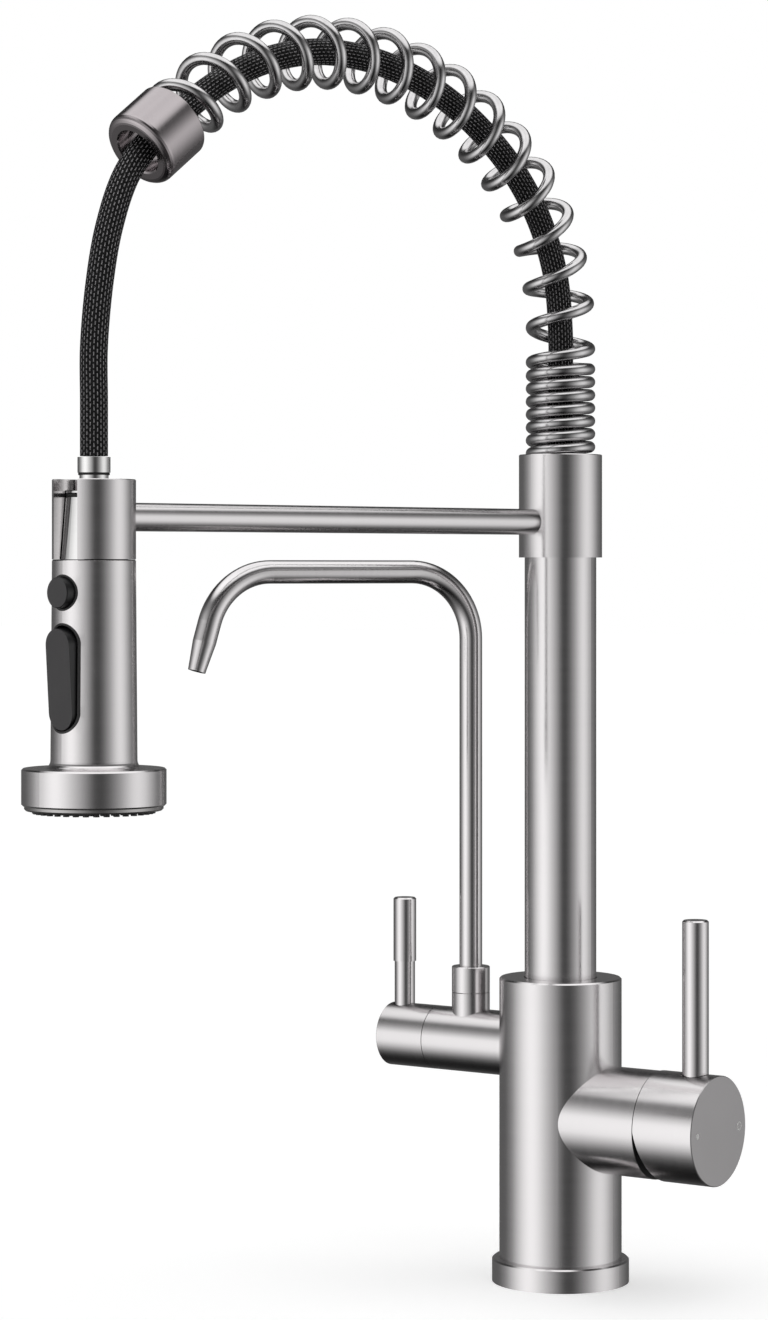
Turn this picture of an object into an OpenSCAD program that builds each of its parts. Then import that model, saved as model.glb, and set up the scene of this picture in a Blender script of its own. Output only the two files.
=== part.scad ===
// Three-way kitchen faucet: a spring arch with a pull-down spray head, a mixer handle and a
// drinking-water tap with its own spout. Millimetres. +Z is up, the origin is the middle of the
// underside, the mixer handle is on +X, the drinking-water handle on -X and the front is -Y.

/* [Body] */
// Outer diameter of the upright body
body_d = 50; // [48:0.5:56]
// Height of the body above the worktop
body_h = 124; // [124:1:140]
// Wall of the body's hollow part
body_wall = 3; // [2.5:0.25:3.5]
// Outer diameter of the foot ring
foot_d = 56; // [54:1:70]
// Height of the foot ring
foot_h = 9.5; // [6:0.5:12]
// Bore of the thread for the mounting shank
shank_bore = 36.4; // [35.6:0.2:37]
// Length of the thread for the mounting shank
shank_l = 12; // [10:1:14]
// Bore of the thread of each inlet port
port_bore = 8.9; // [8:0.1:9.2]
// Distance of the ports from the body's axis
port_circle = 11.7; // [11.5:0.1:12]

/* [Column and arm] */
// Outer diameter of the column
column_d = 29.3; // [29:0.1:30]
// Wall of the column
column_wall = 1.5; // [1.2:0.1:2]
// Height of the arm's axis above the worktop
arm_h = 310; // [308:1:340]
// Distance from the column's axis to the spray head's axis
arm_reach = 239; // [236:1:241]
// Diameter of the arm
arm_d = 10.5; // [9:0.25:12]
// Outer diameter of the collar
collar_d = 34; // [33:0.5:40]
// Height of the collar
collar_l = 42; // [38:1:46]
// Outer diameter of the dock
dock_d = 30.5; // [30:0.5:33]
// Height of the dock
dock_l = 29; // [28:0.5:31]
// Width of the dock's slot
slot_w = 12.7; // [11:0.1:13]

/* [Arch] */
// Outer diameter of the spring
spring_d = 28.5; // [27:0.25:28.75]
// Diameter of the spring's wire
wire_d = 4.8; // [4:0.1:4.8]
// Rise of the spring in each closed turn
closed_pitch = 5.3; // [5.3:0.05:5.6]
// Number of closed turns
closed_turns = 9.9; // [8:0.1:10]
// Rise of the spring in each open turn
open_pitch = 17.65; // [17:0.05:18]
// Number of open turns
open_turns = 15.7; // [15:0.1:16]
// Outer diameter of the arch's end cap
cap_d = 30; // [30:0.5:34]
// Length of the arch's end cap
cap_l = 21; // [19:0.5:22]
// Diameter of the spray hose
hose_d = 10.2; // [9:0.1:10.4]

/* [Spray head] */
// Diameter of the spray head's grip at its top
grip_top_d = 30.5; // [30:0.5:32]
// Diameter of the spray head's grip at its foot
grip_foot_d = 31.6; // [31:0.2:33]
// Length of the grip
grip_l = 75.6; // [74:0.2:80]
// Diameter of the spray disc
disc_d = 52.7; // [51:0.1:58]
// Height of the spray disc
disc_l = 13.6; // [12:0.2:16]
// Diameter of the spray face
face_d = 50.6; // [50:0.1:52]
// Diameter of the pause button
button_d = 11.2; // [10:0.1:11.4]
// Height of the rocker
rocker_l = 36.7; // [32:0.1:38]
// Width of the rocker
rocker_w = 12.5; // [11:0.1:12.6]

/* [Mixer] */
// Height of the mixer's axis above the worktop
mixer_h = 67.6; // [64:0.2:70]
// Diameter of the mixer's fixed barrel
mixer_barrel_d = 43.4; // [43:0.1:46]
// Distance from the body's axis to the end of the mixer's fixed barrel
mixer_barrel_l = 46.8; // [46:0.2:50]
// Diameter of the mixer's handle barrel
mixer_hub_d = 44; // [43:0.5:46]
// Length of the mixer's handle barrel
mixer_hub_l = 26.7; // [25:0.1:30]
// Diameter of the mixer's lever
lever_d = 10.6; // [9:0.1:11]
// Height of the lever's top above the mixer's axis
lever_l = 83.3; // [60:0.1:100]
// Diameter of the ceramic cartridge
cartridge_d = 35; // [34.6:0.1:35.2]

/* [Drinking-water tap] */
// Height of the tap's axis above the worktop
tap_h = 94.8; // [94:0.1:95]
// Diameter of the tap's barrel
tap_d = 26.4; // [26:0.1:28]
// Distance from the body's axis to the seam of the tap's handle
tap_barrel_l = 60; // [59:0.5:62]
// Length of the tap's handle barrel
tap_hub_l = 22.9; // [21:0.1:26]
// Height of the tap lever's top above the tap's axis
tap_lever_l = 57.7; // [50:0.1:70]
// Diameter of the tap's lever
tap_lever_d = 8.6; // [7.5:0.1:9]
// Diameter of the grip on the tap's lever
tap_grip_d = 9.6; // [9.2:0.1:11]
// Length of the grip on the tap's lever
tap_grip_l = 26.8; // [20:0.1:30]

/* [Drinking-water spout] */
// Distance from the body's axis to the spout's post
spout_at = 44; // [43:0.5:45]
// Diameter of the spout's tube
spout_d = 9.5; // [9:0.1:10]
// Wall of the spout's tube
spout_wall = 1; // [0.8:0.1:1.2]
// Height of the spout's level run above the worktop
spout_h = 289.7; // [240:0.1:290]
// Reach of the spout from its post
spout_reach = 125.7; // [110:0.1:140]
// Radius of the spout's bends
spout_bend_r = 28; // [24:0.5:30]
// Distance of the spout's tip below its level run
spout_drop = 39.7; // [36:0.1:60]
// Diameter of the spout's tapered tip
tip_d = 7.2; // [6:0.1:8.5]
// Diameter of the spout's socket
socket_d = 15.8; // [15:0.1:18]

/* [Hidden] */
$fn = 96;

// Clearances and small sizes that several pieces share.
fit = 0.05;
gap = 0.3;
over = 1;
bevel = 0.6;
screw_d = 4;
grub_d = 5;

// Angles. The arm, the spray head's front and the spout are turned from the front.
arm_turn = 13;
front_turn = 5;
spout_turn = 27;

// Body.
gasket_in_d = 40;
gasket_out_d = 47;
gasket_l = 1.5;
block_l = 14;
seat_step = 1;
hose_slack = 1;
port_l = 9;
port_angle = 50;
pipe_d = 6;
pipe_bore = 4.4;
pipe_seat = 3;
neck_floor = 3;
neck_l = 19.5;
neck_lip = 2;
bush_wall = 1.8;
groove_l = 5.6;
groove_depth = 0.8;
hose_way_d = 14;
block_top = shank_l + block_l;
block_seat_d = shank_bore - 2 * seat_step;
neck_bottom = body_h - neck_l;
neck_seat = neck_bottom + neck_floor;
bush_out_d = column_d + 2 * (fit + bush_wall);
cavity_d = body_d - 2 * body_wall;
column_foot = neck_seat + gap;
retainer_h = neck_seat + neck_l / 2 - neck_floor / 2;
riser_in_manifold = mixer_h - cartridge_d / 3;

// Collar and arm.
collar_drop = 14.4;
web_down = 6.5;
web_up = 7.5;
spigot_d = 8;
guide_wall = 1.4;
set_screw_drop = 10.5;
dock_rise = 13.5;
dock_lip = 4;
dock_bore_top_d = 21;
dock_bore_foot_d = 25.3;
dock_eye_d = 14.5;
dock_inset = 1.5;
screw_head_d = 7.6;
screw_head_l = 1.8;
dock_screw_l = 12;
collar_foot = arm_h - collar_drop;
collar_top = collar_foot + collar_l;
column_top = arm_h - web_down;
spring_seat = arm_h + web_up;
dock_top = arm_h + dock_rise;
dock_foot = dock_top - dock_l;
seam = 0.3;
head_top = dock_foot - seam;
rod_foot = hose_way_d / 2 + over;
screw_seat = arm_reach - dock_d / 2 + dock_inset + screw_head_l + fit;

// Arch: an upright stretch, three arcs and a straight end.
bend_above_seat = 70.5;
shoulder_r = 89;
crown_r = 133;
fall_r = 118;
shoulder_angle = 45;
crown_angle = 45;
fall_angle = 38.5;
cap_pocket = 8;
cap_bore_d = 18;
cap_round = 3;
spring_phase = -42;
rings_a_turn = 8;
wire_sides = 6;
hose_sides = 12;

// Spray head.
head_wall = 2.65;
flare_r = 2.8;
disc_skin = 3;
disc_wall = 2.35;
floor_l = 1.4;
neck_spigot_l = 4.8;
neck_foot_d = 24.6;
neck_top_d = 20.3;
neck_rise = 25;
swivel_d = 10.6;
swivel_up = 6.5;
swivel_l = 27.7;
swivel_bore = 6;
ferrule_d = 12;
ferrule_l = 5.6;
ring_wire = 1.6;
ring_share = 0.94;
clip_l = 1;
clip_above_foot = 7;
check_valve_d = 8;
check_valve_l = 6;
diverter_d = 13;
diverter_back = 4.5;
button_drop = 11.8;
button_out = 2.75;
button_back = 9;
flange_l = 1.3;
flange_d = 13.4;
button_gap = 0.2;
button_spring_d = 8;
button_spring_bore = 6.4;
rocker_drop = 42.7;
rocker_out = 1.85;
rocker_back = 9;
rocker_pin_at = 11;
rocker_pin_d = 2.5;
rocker_pin_l = 19;
rocker_rest = 3.6;
rocker_side_gap = 0.4;
rocker_end_gap = 0.8;
rim_l = 1.7;
plate_l = 3.3;
nub_d = 2.3;
nub_out = 1.1;
outer_nubs = 36;
inner_nubs = 24;
outer_nub_share = 0.84;
inner_nub_share = 0.62;
mat_l = 1.4;
aerator_d = 16;
aerator_l = 11;
aerator_dish = 1.2;
slat_w = 0.8;
slats = 5;
cavity_head_d = grip_top_d - 2 * head_wall;
button_face = grip_top_d / 2 + button_out;
disc_top = head_top - grip_l;
disc_foot = disc_top - disc_l;
face_z = disc_foot - rim_l;
disc_cavity_d = face_d - disc_wall;
floor_top = disc_top + floor_l;
swivel_top = dock_top + seam + swivel_up - ferrule_l + over + gap;
swivel_foot = swivel_top - swivel_l;
check_top = swivel_foot - gap - head_top;
clip_z = swivel_foot + clip_above_foot - clip_l / 2 + fit - head_top;

// Mixer. Lengths along its axis count from the body's axis.
mixer_gap = 0.5;
relief_angle = 12.3;
nut_l = 6.8;
nut_wall = 1.75;
nut_bore = 28;
cartridge_l = 23.5;
cartridge_skin = 2.3;
cartridge_floor = 3;
cartridge_eye = 20;
manifold_back = 3.4;
manifold_way_d = 12.4;
water_way_d = 5;
water_way_share = 0.25;
disc_thick = 3;
disc_gap = 0.1;
moving_disc_d = 26;
carrier_d = 29.8;
stem_d = 9;
stem_pin_d = 3;
stem_pin_l = 24;
stem_back = 6.7;
pivot_in = 13.8;
stem_swing = 2.1;
hub_hollow_l = 9.7;
hub_hollow_d = 38;
stem_in_hub = 12;
lever_back = 10.5;
lever_seat_d = 12;
lever_seat_r = 20.3;
lever_spigot_d = 6;
lever_spigot_foot = 8;
mark_share = 0.76;
mark_d = 2.4;
mark_ring_d = 3.4;
mark_depth = 0.3;
cartridge_front = mixer_barrel_l - nut_l;
cartridge_back = cartridge_front - cartridge_l;
disc_seat = cartridge_back + cartridge_floor;
moving_seat = disc_seat + disc_thick + disc_gap;
carrier_seat = moving_seat + disc_thick;
carrier_front = cartridge_front - cartridge_floor - gap;
mixer_pivot = mixer_barrel_l - pivot_in;
stem_foot = mixer_pivot - stem_back + stem_d / 2 * sin(relief_angle);
hub_back = mixer_barrel_l + mixer_gap;
hub_face = hub_back + mixer_hub_l;
hub_solid = hub_back + hub_hollow_l;
lever_at = hub_face - lever_back;

// Drinking-water tap. Lengths along its axis count from the body's axis.
tap_spigot_d = 18;
tap_tail = 7.2;
tap_way_d = 5;
tap_way_drop = 4.6;
valve_d = 20.2;
valve_l = 12;
tap_disc_d = 14;
tap_disc_l = 1.8;
tap_stem_d = 8;
tap_stem_in_hub = 10.7;
tap_lever_back = 5.8;
tap_core_d = 5;
tap_core_foot = 6;
tap_core_in_grip = 12;
tap_seat_d = 9.6;
tap_seat_share = 0.42;
tap_grub_back = 15;
valve_back = tap_barrel_l - valve_l;
tap_hub_back = tap_barrel_l + gap;
tap_face = tap_hub_back + tap_hub_l;
tap_lever_at = tap_face - tap_lever_back;

// Drinking-water spout.
socket_up = 20;
collar_up = 10.6;
post_down = 7.5;
o_ring_wire = 1.4;
drop_sine_share = 0.96;
drop_angle = asin(drop_sine_share);
taper_l = 12;
socket_top = tap_h + socket_up;
post_foot = socket_top - post_down - gap;
tip_l = (spout_drop - spout_bend_r * (1 - cos(drop_angle))) / sin(drop_angle);
run_l = spout_reach - spout_bend_r * (1 + sin(drop_angle)) - tip_l * cos(drop_angle);

// The spray hose's route in the arm's plane: distance out from the column's axis, and height.
hose_route = [
    [0, 14], [0, 44], [0, 74], [0, 104], [0, 134], [0, 164], [0, 194], [0, 224], [0, 254],
    [0, 284], [0, 314], [0, 340], [0, 365], [0, 388], [3, 411], [12, 432.5], [26, 451],
    [44, 466], [64, 477.5], [86, 485.5], [108, 489.5], [132, 489.5], [155, 484.5],
    [176, 475.5], [194, 464], [211, 450.5], [224, 435.5], [232, 416], [236.5, 395],
    [239, 372], [239, 352], [239, 332]
];

function arc_l(r, angle) = r * angle * PI / 180;

// A place a length s beyond a place and turn, along an arc or a straight line. Each place is
// [distance out, height, turn away from upright].
function on_arc(from, r, s) =
    let (turn = from[2] + s / r * 180 / PI)
    [from[0] + r * (cos(from[2]) - cos(turn)), from[1] + r * (sin(turn) - sin(from[2])), turn];
function on_line(from, s) = [from[0] + s * sin(from[2]), from[1] + s * cos(from[2]), from[2]];

shoulder_start = [0, spring_seat + bend_above_seat, 0];
crown_start = on_arc(shoulder_start, shoulder_r, arc_l(shoulder_r, shoulder_angle));
fall_start = on_arc(crown_start, crown_r, arc_l(crown_r, crown_angle));
tail_start = on_arc(fall_start, fall_r, arc_l(fall_r, fall_angle));

// The arch's centreline a length s above the spring's seat.
function arch_at(s) =
    let (
        a = s - bend_above_seat,
        b = a - arc_l(shoulder_r, shoulder_angle),
        c = b - arc_l(crown_r, crown_angle),
        d = c - arc_l(fall_r, fall_angle)
    )
    a < 0 ? [0, spring_seat + s, 0]
    : b < 0 ? on_arc(shoulder_start, shoulder_r, a)
    : c < 0 ? on_arc(crown_start, crown_r, b)
    : d < 0 ? on_arc(fall_start, fall_r, c)
    : on_line(tail_start, d);

// How far along the arch the wire is after a number of turns: closed, opening in one turn, open.
function along(turns) =
    let (t = turns - closed_turns, step = open_pitch - closed_pitch)
    wire_d / 2 + gap + closed_pitch * turns
    + (t <= 0 ? 0 : t < 1 ? step * pow(t, 4) / 4 : step / 4 + step * (t - 1));

// The middle of the wire after a number of turns, in the arm's plane with x out and z up.
function wire_at(turns) =
    let (
        p = arch_at(along(turns)),
        phi = spring_phase + 360 * (turns - closed_turns),
        r = (spring_d - wire_d) / 2
    )
    [p[0] - r * cos(phi) * cos(p[2]), -r * sin(phi), p[1] + r * cos(phi) * sin(p[2])];

function unit(v) = v / norm(v);

// Rings of points round a line of points. Each ring's first point lies towards its side vector.
function rings(line, sides, r, side_at) = [
    for (i = [0 : len(line) - 1])
        let (
            t = unit(line[min(i + 1, len(line) - 1)] - line[max(i - 1, 0)]),
            w = unit(cross(t, side_at[i])),
            u = cross(w, t)
        )
        [for (k = [0 : sides - 1]) line[i] + r * (cos(360 * k / sides) * u + sin(360 * k / sides) * w)]
];

// A closed tube through rings of points, in triangles.
module swept(rows) {
    n = len(rows[0]);
    last = len(rows) - 1;
    points = [for (row = rows) each row];
    sides = [
        for (i = [0 : last - 1], k = [0 : n - 1])
            let (a = i * n + k, b = i * n + (k + 1) % n)
            each [[a, a + n, b], [b, a + n, b + n]]
    ];
    start = [for (k = [1 : n - 2]) [0, k, k + 1]];
    finish = [for (k = [1 : n - 2]) [last * n, last * n + k + 1, last * n + k]];
    polyhedron(points = points, faces = concat(sides, start, finish));
}

spring_turns = closed_turns + 1 + open_turns;
spring_rings = floor(spring_turns * rings_a_turn);
// The end cap's middle: the floor of its pocket lies just past the last turn.
cap_place = arch_at(along(spring_turns) + wire_d / 2 + 2 * gap - cap_pocket + cap_l / 2);
spring_line = [for (i = [0 : spring_rings]) wire_at(i / rings_a_turn)];
spring_rows = rings(
    spring_line, wire_sides, wire_d / 2,
    [for (i = [0 : spring_rings])
        let (p = arch_at(along(i / rings_a_turn))) spring_line[i] - [p[0], 0, p[1]]]
);
// The least distance between points of the wire that lie about a turn apart.
spring_least_gap = min([
    for (i = [0 : spring_rings - rings_a_turn - 1], j = [rings_a_turn - 2 : rings_a_turn + 1])
        if (i + j <= spring_rings)
            min([for (p = spring_rows[i], q = spring_rows[i + j]) norm(p - q)])
]);
echo("least gap of the spring to itself, mm", spring_least_gap);

// Frames: the mixer's and the tap's axes run along local +Z with local +X up; the arm runs along
// local +X; the head's front faces local +X.
module on_mixer(l = 0)
    translate([0, 0, mixer_h]) rotate([0, 90, 0]) rotate([0, 0, 180]) translate([0, 0, l]) children();
module on_tap(l = 0) translate([0, 0, tap_h]) rotate([0, -90, 0]) translate([0, 0, l]) children();
module on_arm() rotate([0, 0, -90 - arm_turn]) children();
module on_head(z = 0) on_arm() translate([arm_reach, 0, z]) rotate([0, 0, front_turn]) children();
module on_spout(z = 0) translate([-spout_at, 0, z]) rotate([0, 0, -90 - spout_turn]) children();
module facing_x() rotate([0, 90, 0]) children();

// A round bar with a bevelled far end.
module bar(d, h, edge = bevel) {
    rotate_extrude()
        polygon([[0, 0], [d / 2, 0], [d / 2, h - edge], [d / 2 - edge, h], [0, h]]);
}

// A straight cut of a given diameter that overruns both ends.
module cut(d, h) translate([0, 0, -over]) cylinder(d = d, h = h + 2 * over);

module tube(d, bore, h) {
    difference() {
        cylinder(d = d, h = h);
        cut(bore, h);
    }
}

// A round wire bent to a closed ring.
module o_ring(d, wire) rotate_extrude() translate([d / 2, 0]) circle(d = wire);

// Foot and body.

module base_ring() {
    color("silver")
        difference() {
            bar(foot_d, foot_h);
            cut(body_d + 2 * fit, foot_h);
        }
}

module deck_gasket() {
    color([0.12, 0.12, 0.12])
        tube(gasket_out_d - 2 * fit, gasket_in_d + 2 * fit, gasket_l - fit);
}

module main_body() {
    color("silver")
        difference() {
            union() {
                bar(body_d, body_h);
                on_mixer() cylinder(d = mixer_barrel_d, h = mixer_barrel_l);
            }
            translate([0, 0, -over]) cylinder(d = shank_bore, h = shank_l + over);
            cut(block_seat_d, block_top);
            translate([0, 0, block_top]) cylinder(d = cavity_d, h = neck_bottom - block_top);
            translate([0, 0, neck_bottom]) cut(hose_way_d, neck_floor);
            translate([0, 0, neck_seat])
                cylinder(d = bush_out_d + 2 * fit, h = body_h - neck_lip - neck_seat);
            translate([0, 0, neck_seat]) cylinder(d = column_d + 2 * gap, h = neck_l + over);
            translate([0, 0, -over]) tube(gasket_out_d, gasket_in_d, gasket_l + over);
            on_mixer() cylinder(d = cartridge_d + 4 * fit, h = cartridge_front);
            on_mixer(cartridge_front)
                cylinder(d = cartridge_d + 2 * nut_wall + 2 * fit, h = nut_l + over);
            on_tap(body_d / 2 - 2 * body_wall)
                cylinder(d = tap_spigot_d + 2 * fit, h = 2 * body_wall + over);
            translate([0, 0, retainer_h]) rotate([-90, 0, 0])
                translate([0, 0, column_d / 2]) cylinder(d = grub_d + 2 * fit, h = body_d / 2);
        }
}

module port_places() {
    for (a = [-port_angle, 0, port_angle, 180])
        rotate([0, 0, a]) translate([port_circle, 0, 0]) children();
}

module inlet_block() {
    color([0.78, 0.62, 0.32])
        translate([0, 0, shank_l])
            difference() {
                cylinder(d = block_seat_d - 2 * fit, h = block_l);
                cut(hose_d + 2 * hose_slack, block_l);
                port_places() {
                    translate([0, 0, -over]) cylinder(d = port_bore, h = port_l + over);
                    cut(pipe_bore, block_l);
                    translate([0, 0, block_l - pipe_seat])
                        cylinder(d = pipe_d + 2 * fit, h = pipe_seat + over);
                }
            }
}

// A straight pipe from its seat in the inlet block up to a height.
module riser(angle, top) {
    foot = block_top - pipe_seat;
    color([0.78, 0.48, 0.3])
        rotate([0, 0, angle]) translate([port_circle, 0, foot]) tube(pipe_d, pipe_bore, top - foot);
}

module hot_pipe() riser(-port_angle, riser_in_manifold);
module cold_pipe() riser(port_angle, riser_in_manifold);
module outlet_pipe() riser(0, riser_in_manifold);
module tap_pipe() riser(180, tap_h - tap_spigot_d / 4);

module water_ways(h) {
    for (a = [0, 120, 240])
        rotate([0, 0, a]) translate([cartridge_d * water_way_share, 0, 0]) cut(water_way_d, h);
}

module mixer_manifold() {
    l = cartridge_back - manifold_back;
    color([0.78, 0.62, 0.32])
        difference() {
            on_mixer(manifold_back) cylinder(d = cartridge_d - 2 * fit, h = l);
            translate([0, 0, mixer_h - cartridge_d]) cylinder(d = manifold_way_d, h = 2 * cartridge_d);
            for (a = [-port_angle, 0, port_angle])
                rotate([0, 0, a]) translate([port_circle, 0, block_top])
                    cylinder(d = pipe_d + 2 * fit, h = riser_in_manifold - block_top);
            on_mixer(manifold_back + l / 2) water_ways(l / 2);
        }
}

module mixer_cartridge() {
    color([0.9, 0.9, 0.88])
        on_mixer(cartridge_back)
            difference() {
                cylinder(d = cartridge_d, h = cartridge_l);
                translate([0, 0, cartridge_floor])
                    cylinder(d = cartridge_d - 2 * cartridge_skin, h = cartridge_l - 2 * cartridge_floor);
                translate([0, 0, cartridge_floor]) cylinder(d = cartridge_eye, h = cartridge_l);
                water_ways(cartridge_floor);
            }
}

module fixed_disc() {
    color([0.95, 0.95, 0.93])
        on_mixer(disc_seat)
            difference() {
                cylinder(d = carrier_d, h = disc_thick);
                water_ways(disc_thick);
            }
}

module cartridge_nut() {
    slot = water_way_d;
    color([0.78, 0.62, 0.32])
        on_mixer(cartridge_front)
            difference() {
                tube(cartridge_d + 2 * nut_wall, nut_bore, nut_l - gap);
                translate([-cartridge_d, -slot / 2, nut_l / 2]) cube([2 * cartridge_d, slot, nut_l]);
            }
}

module column_bush() {
    color([0.92, 0.92, 0.88])
        translate([0, 0, neck_seat])
            difference() {
                tube(bush_out_d, column_d + 2 * fit, body_h - neck_lip - neck_seat - gap);
                translate([0, 0, retainer_h - neck_seat]) rotate([-90, 0, 0])
                    cylinder(d = grub_d + 2 * fit, h = body_d / 2);
            }
}

module retaining_screw() {
    tip = column_d / 2 - groove_depth + gap / 2;
    color("dimgray")
        translate([0, 0, retainer_h]) rotate([-90, 0, 0]) translate([0, 0, tip])
            cylinder(d = grub_d, h = body_d / 2 - bevel - tip);
}

// Column, collar, arm and dock.

module column_tube() {
    color("silver")
        translate([0, 0, column_foot])
            difference() {
                tube(column_d, column_d - 2 * column_wall, column_top - column_foot);
                translate([0, 0, retainer_h - groove_l / 2 - column_foot])
                    tube(column_d + over, column_d - 2 * groove_depth, groove_l);
            }
}

module collar() {
    color("silver")
        on_arm()
            difference() {
                translate([0, 0, collar_foot]) bar(collar_d, collar_l, bevel / 2);
                translate([0, 0, collar_foot - over])
                    cylinder(d = column_d + 2 * fit, h = column_top - collar_foot + over);
                translate([0, 0, collar_foot]) cut(hose_way_d, collar_l);
                translate([0, 0, spring_seat])
                    cylinder(d = spring_d + gap, h = collar_top - spring_seat + over);
                translate([0, 0, arm_h]) facing_x() cylinder(d = spigot_d + 2 * fit, h = collar_d);
                translate([0, 0, arm_h - set_screw_drop]) rotate([0, -90, 0])
                    cylinder(d = screw_d + 2 * fit, h = collar_d);
            }
}

module collar_set_screw() {
    color("dimgray")
        on_arm() translate([0, 0, arm_h - set_screw_drop]) rotate([0, -90, 0])
            translate([0, 0, column_d / 2 + fit])
                cylinder(d = screw_d, h = (collar_d - column_d) / 2 - bevel / 2);
}

module arm_rod() {
    color("silver")
        on_arm()
            difference() {
                translate([0, 0, arm_h]) facing_x() {
                    translate([0, 0, rod_foot])
                        cylinder(d = spigot_d, h = arm_reach - dock_d / 2 + dock_inset - rod_foot);
                    difference() {
                        translate([0, 0, collar_d / 2 - over])
                            cylinder(d = arm_d, h = arm_reach - dock_d / 2 - collar_d / 2 + 2 * over);
                        cylinder(d = spigot_d - fit, h = arm_reach);
                    }
                }
                translate([0, 0, arm_h - arm_d]) tube_between(collar_d + 2 * fit, spigot_d);
                translate([arm_reach, 0, arm_h - arm_d]) tube_between(dock_d + 2 * fit, spigot_d);
                translate([0, 0, arm_h]) facing_x()
                    translate([0, 0, arm_reach - dock_d / 2 - dock_screw_l])
                    cylinder(d = screw_d + 2 * fit, h = arm_reach);
            }
}

// An upright round cutter that leaves a level spigot along X uncut.
module tube_between(d, core_d) {
    difference() {
        cylinder(d = d, h = 2 * arm_d);
        translate([-arm_reach, 0, arm_d]) facing_x() cylinder(d = core_d, h = 2 * arm_reach);
    }
}

module dock_bore(clear) {
    rise = dock_l - dock_lip;
    rotate_extrude()
        polygon([
            [0, 0], [dock_bore_foot_d / 2 + clear, 0], [dock_bore_top_d / 2 + clear, rise], [0, rise]
        ]);
}

module dock() {
    color("silver")
        difference() {
            on_arm() translate([arm_reach, 0, dock_foot]) bar(dock_d, dock_l, bevel / 2);
            on_head(dock_foot) dock_bore(0);
            on_head(dock_foot - over) cylinder(d = dock_bore_foot_d, h = over);
            on_head(dock_foot) cut(dock_eye_d, dock_l);
            on_head(dock_foot - over) translate([0, -slot_w / 2, 0])
                cube([dock_d, slot_w, dock_l + 2 * over]);
            on_arm() translate([0, 0, arm_h]) facing_x() {
                translate([0, 0, arm_reach - dock_d])
                    cylinder(d = spigot_d + 2 * fit, h = dock_d / 2 + dock_inset + fit);
                cylinder(d = screw_d + 2 * fit, h = arm_reach);
                translate([0, 0, screw_seat - screw_head_l])
                    cylinder(d = screw_head_d + 2 * fit, h = dock_d / 2);
            }
        }
}

module dock_screw() {
    color("dimgray")
        on_arm() translate([0, 0, arm_h]) facing_x() {
            translate([0, 0, screw_seat - screw_head_l + fit])
                cylinder(d = screw_head_d, h = screw_head_l);
            translate([0, 0, screw_seat - dock_screw_l])
                cylinder(d = screw_d, h = dock_screw_l - screw_head_l + fit);
        }
}

// Arch.

module spring() {
    color("silver") on_arm() swept(spring_rows);
}

module end_cap() {
    steps = 6;
    profile = concat(
        [[cap_bore_d / 2, cap_pocket], [spring_d / 2 + gap / 2, cap_pocket], [spring_d / 2 + gap / 2, 0]],
        [[cap_d / 2 - gap / 2, 0], [cap_d / 2, gap]],
        [for (i = [0 : steps]) let (a = 90 * i / steps)
            [cap_d / 2 - cap_round * (1 - cos(a)), cap_l - cap_round * (1 - sin(a))]],
        [[cap_bore_d / 2 + bevel, cap_l], [cap_bore_d / 2, cap_l - bevel]]
    );
    color([0.5, 0.5, 0.5])
        on_arm() translate([cap_place[0], 0, cap_place[1]]) rotate([0, cap_place[2], 0])
            translate([0, 0, -cap_l / 2]) rotate_extrude() polygon(profile);
}

module hose_guide() {
    color([0.92, 0.92, 0.88])
        translate([0, 0, column_top])
            tube(hose_way_d - 2 * fit, hose_way_d - 2 * guide_wall, spring_seat - column_top);
}

module hose() {
    line = [for (p = hose_route) [p[0], 0, p[1]]];
    color([0.08, 0.08, 0.08])
        on_arm() swept(rings(line, hose_sides, hose_d / 2, [for (p = line) [0, -1, 0]]));
}

// Hose end.

module hose_ferrule() {
    color("silver")
        on_head(swivel_top) tube(ferrule_d, swivel_bore, ferrule_l);
}

module hose_swivel() {
    color("silver")
        on_head(swivel_top - swivel_l)
            difference() {
                cylinder(d = swivel_d, h = swivel_l);
                cut(swivel_bore, swivel_l);
                translate([0, 0, clip_above_foot - clip_l / 2])
                    tube(swivel_d + over, swivel_d - 2 * groove_depth, clip_l + 2 * fit);
                translate([0, 0, 2 * clip_above_foot])
                    tube(swivel_d + over, swivel_d - 2 * ring_wire, ring_wire + 2 * fit);
            }
}

module swivel_o_ring() {
    color([0.12, 0.12, 0.12])
        on_head(swivel_top - swivel_l + 2 * clip_above_foot + ring_wire / 2 + fit)
            o_ring(swivel_d - ring_wire, ring_wire - 2 * fit);
}

// Spray head.

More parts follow.
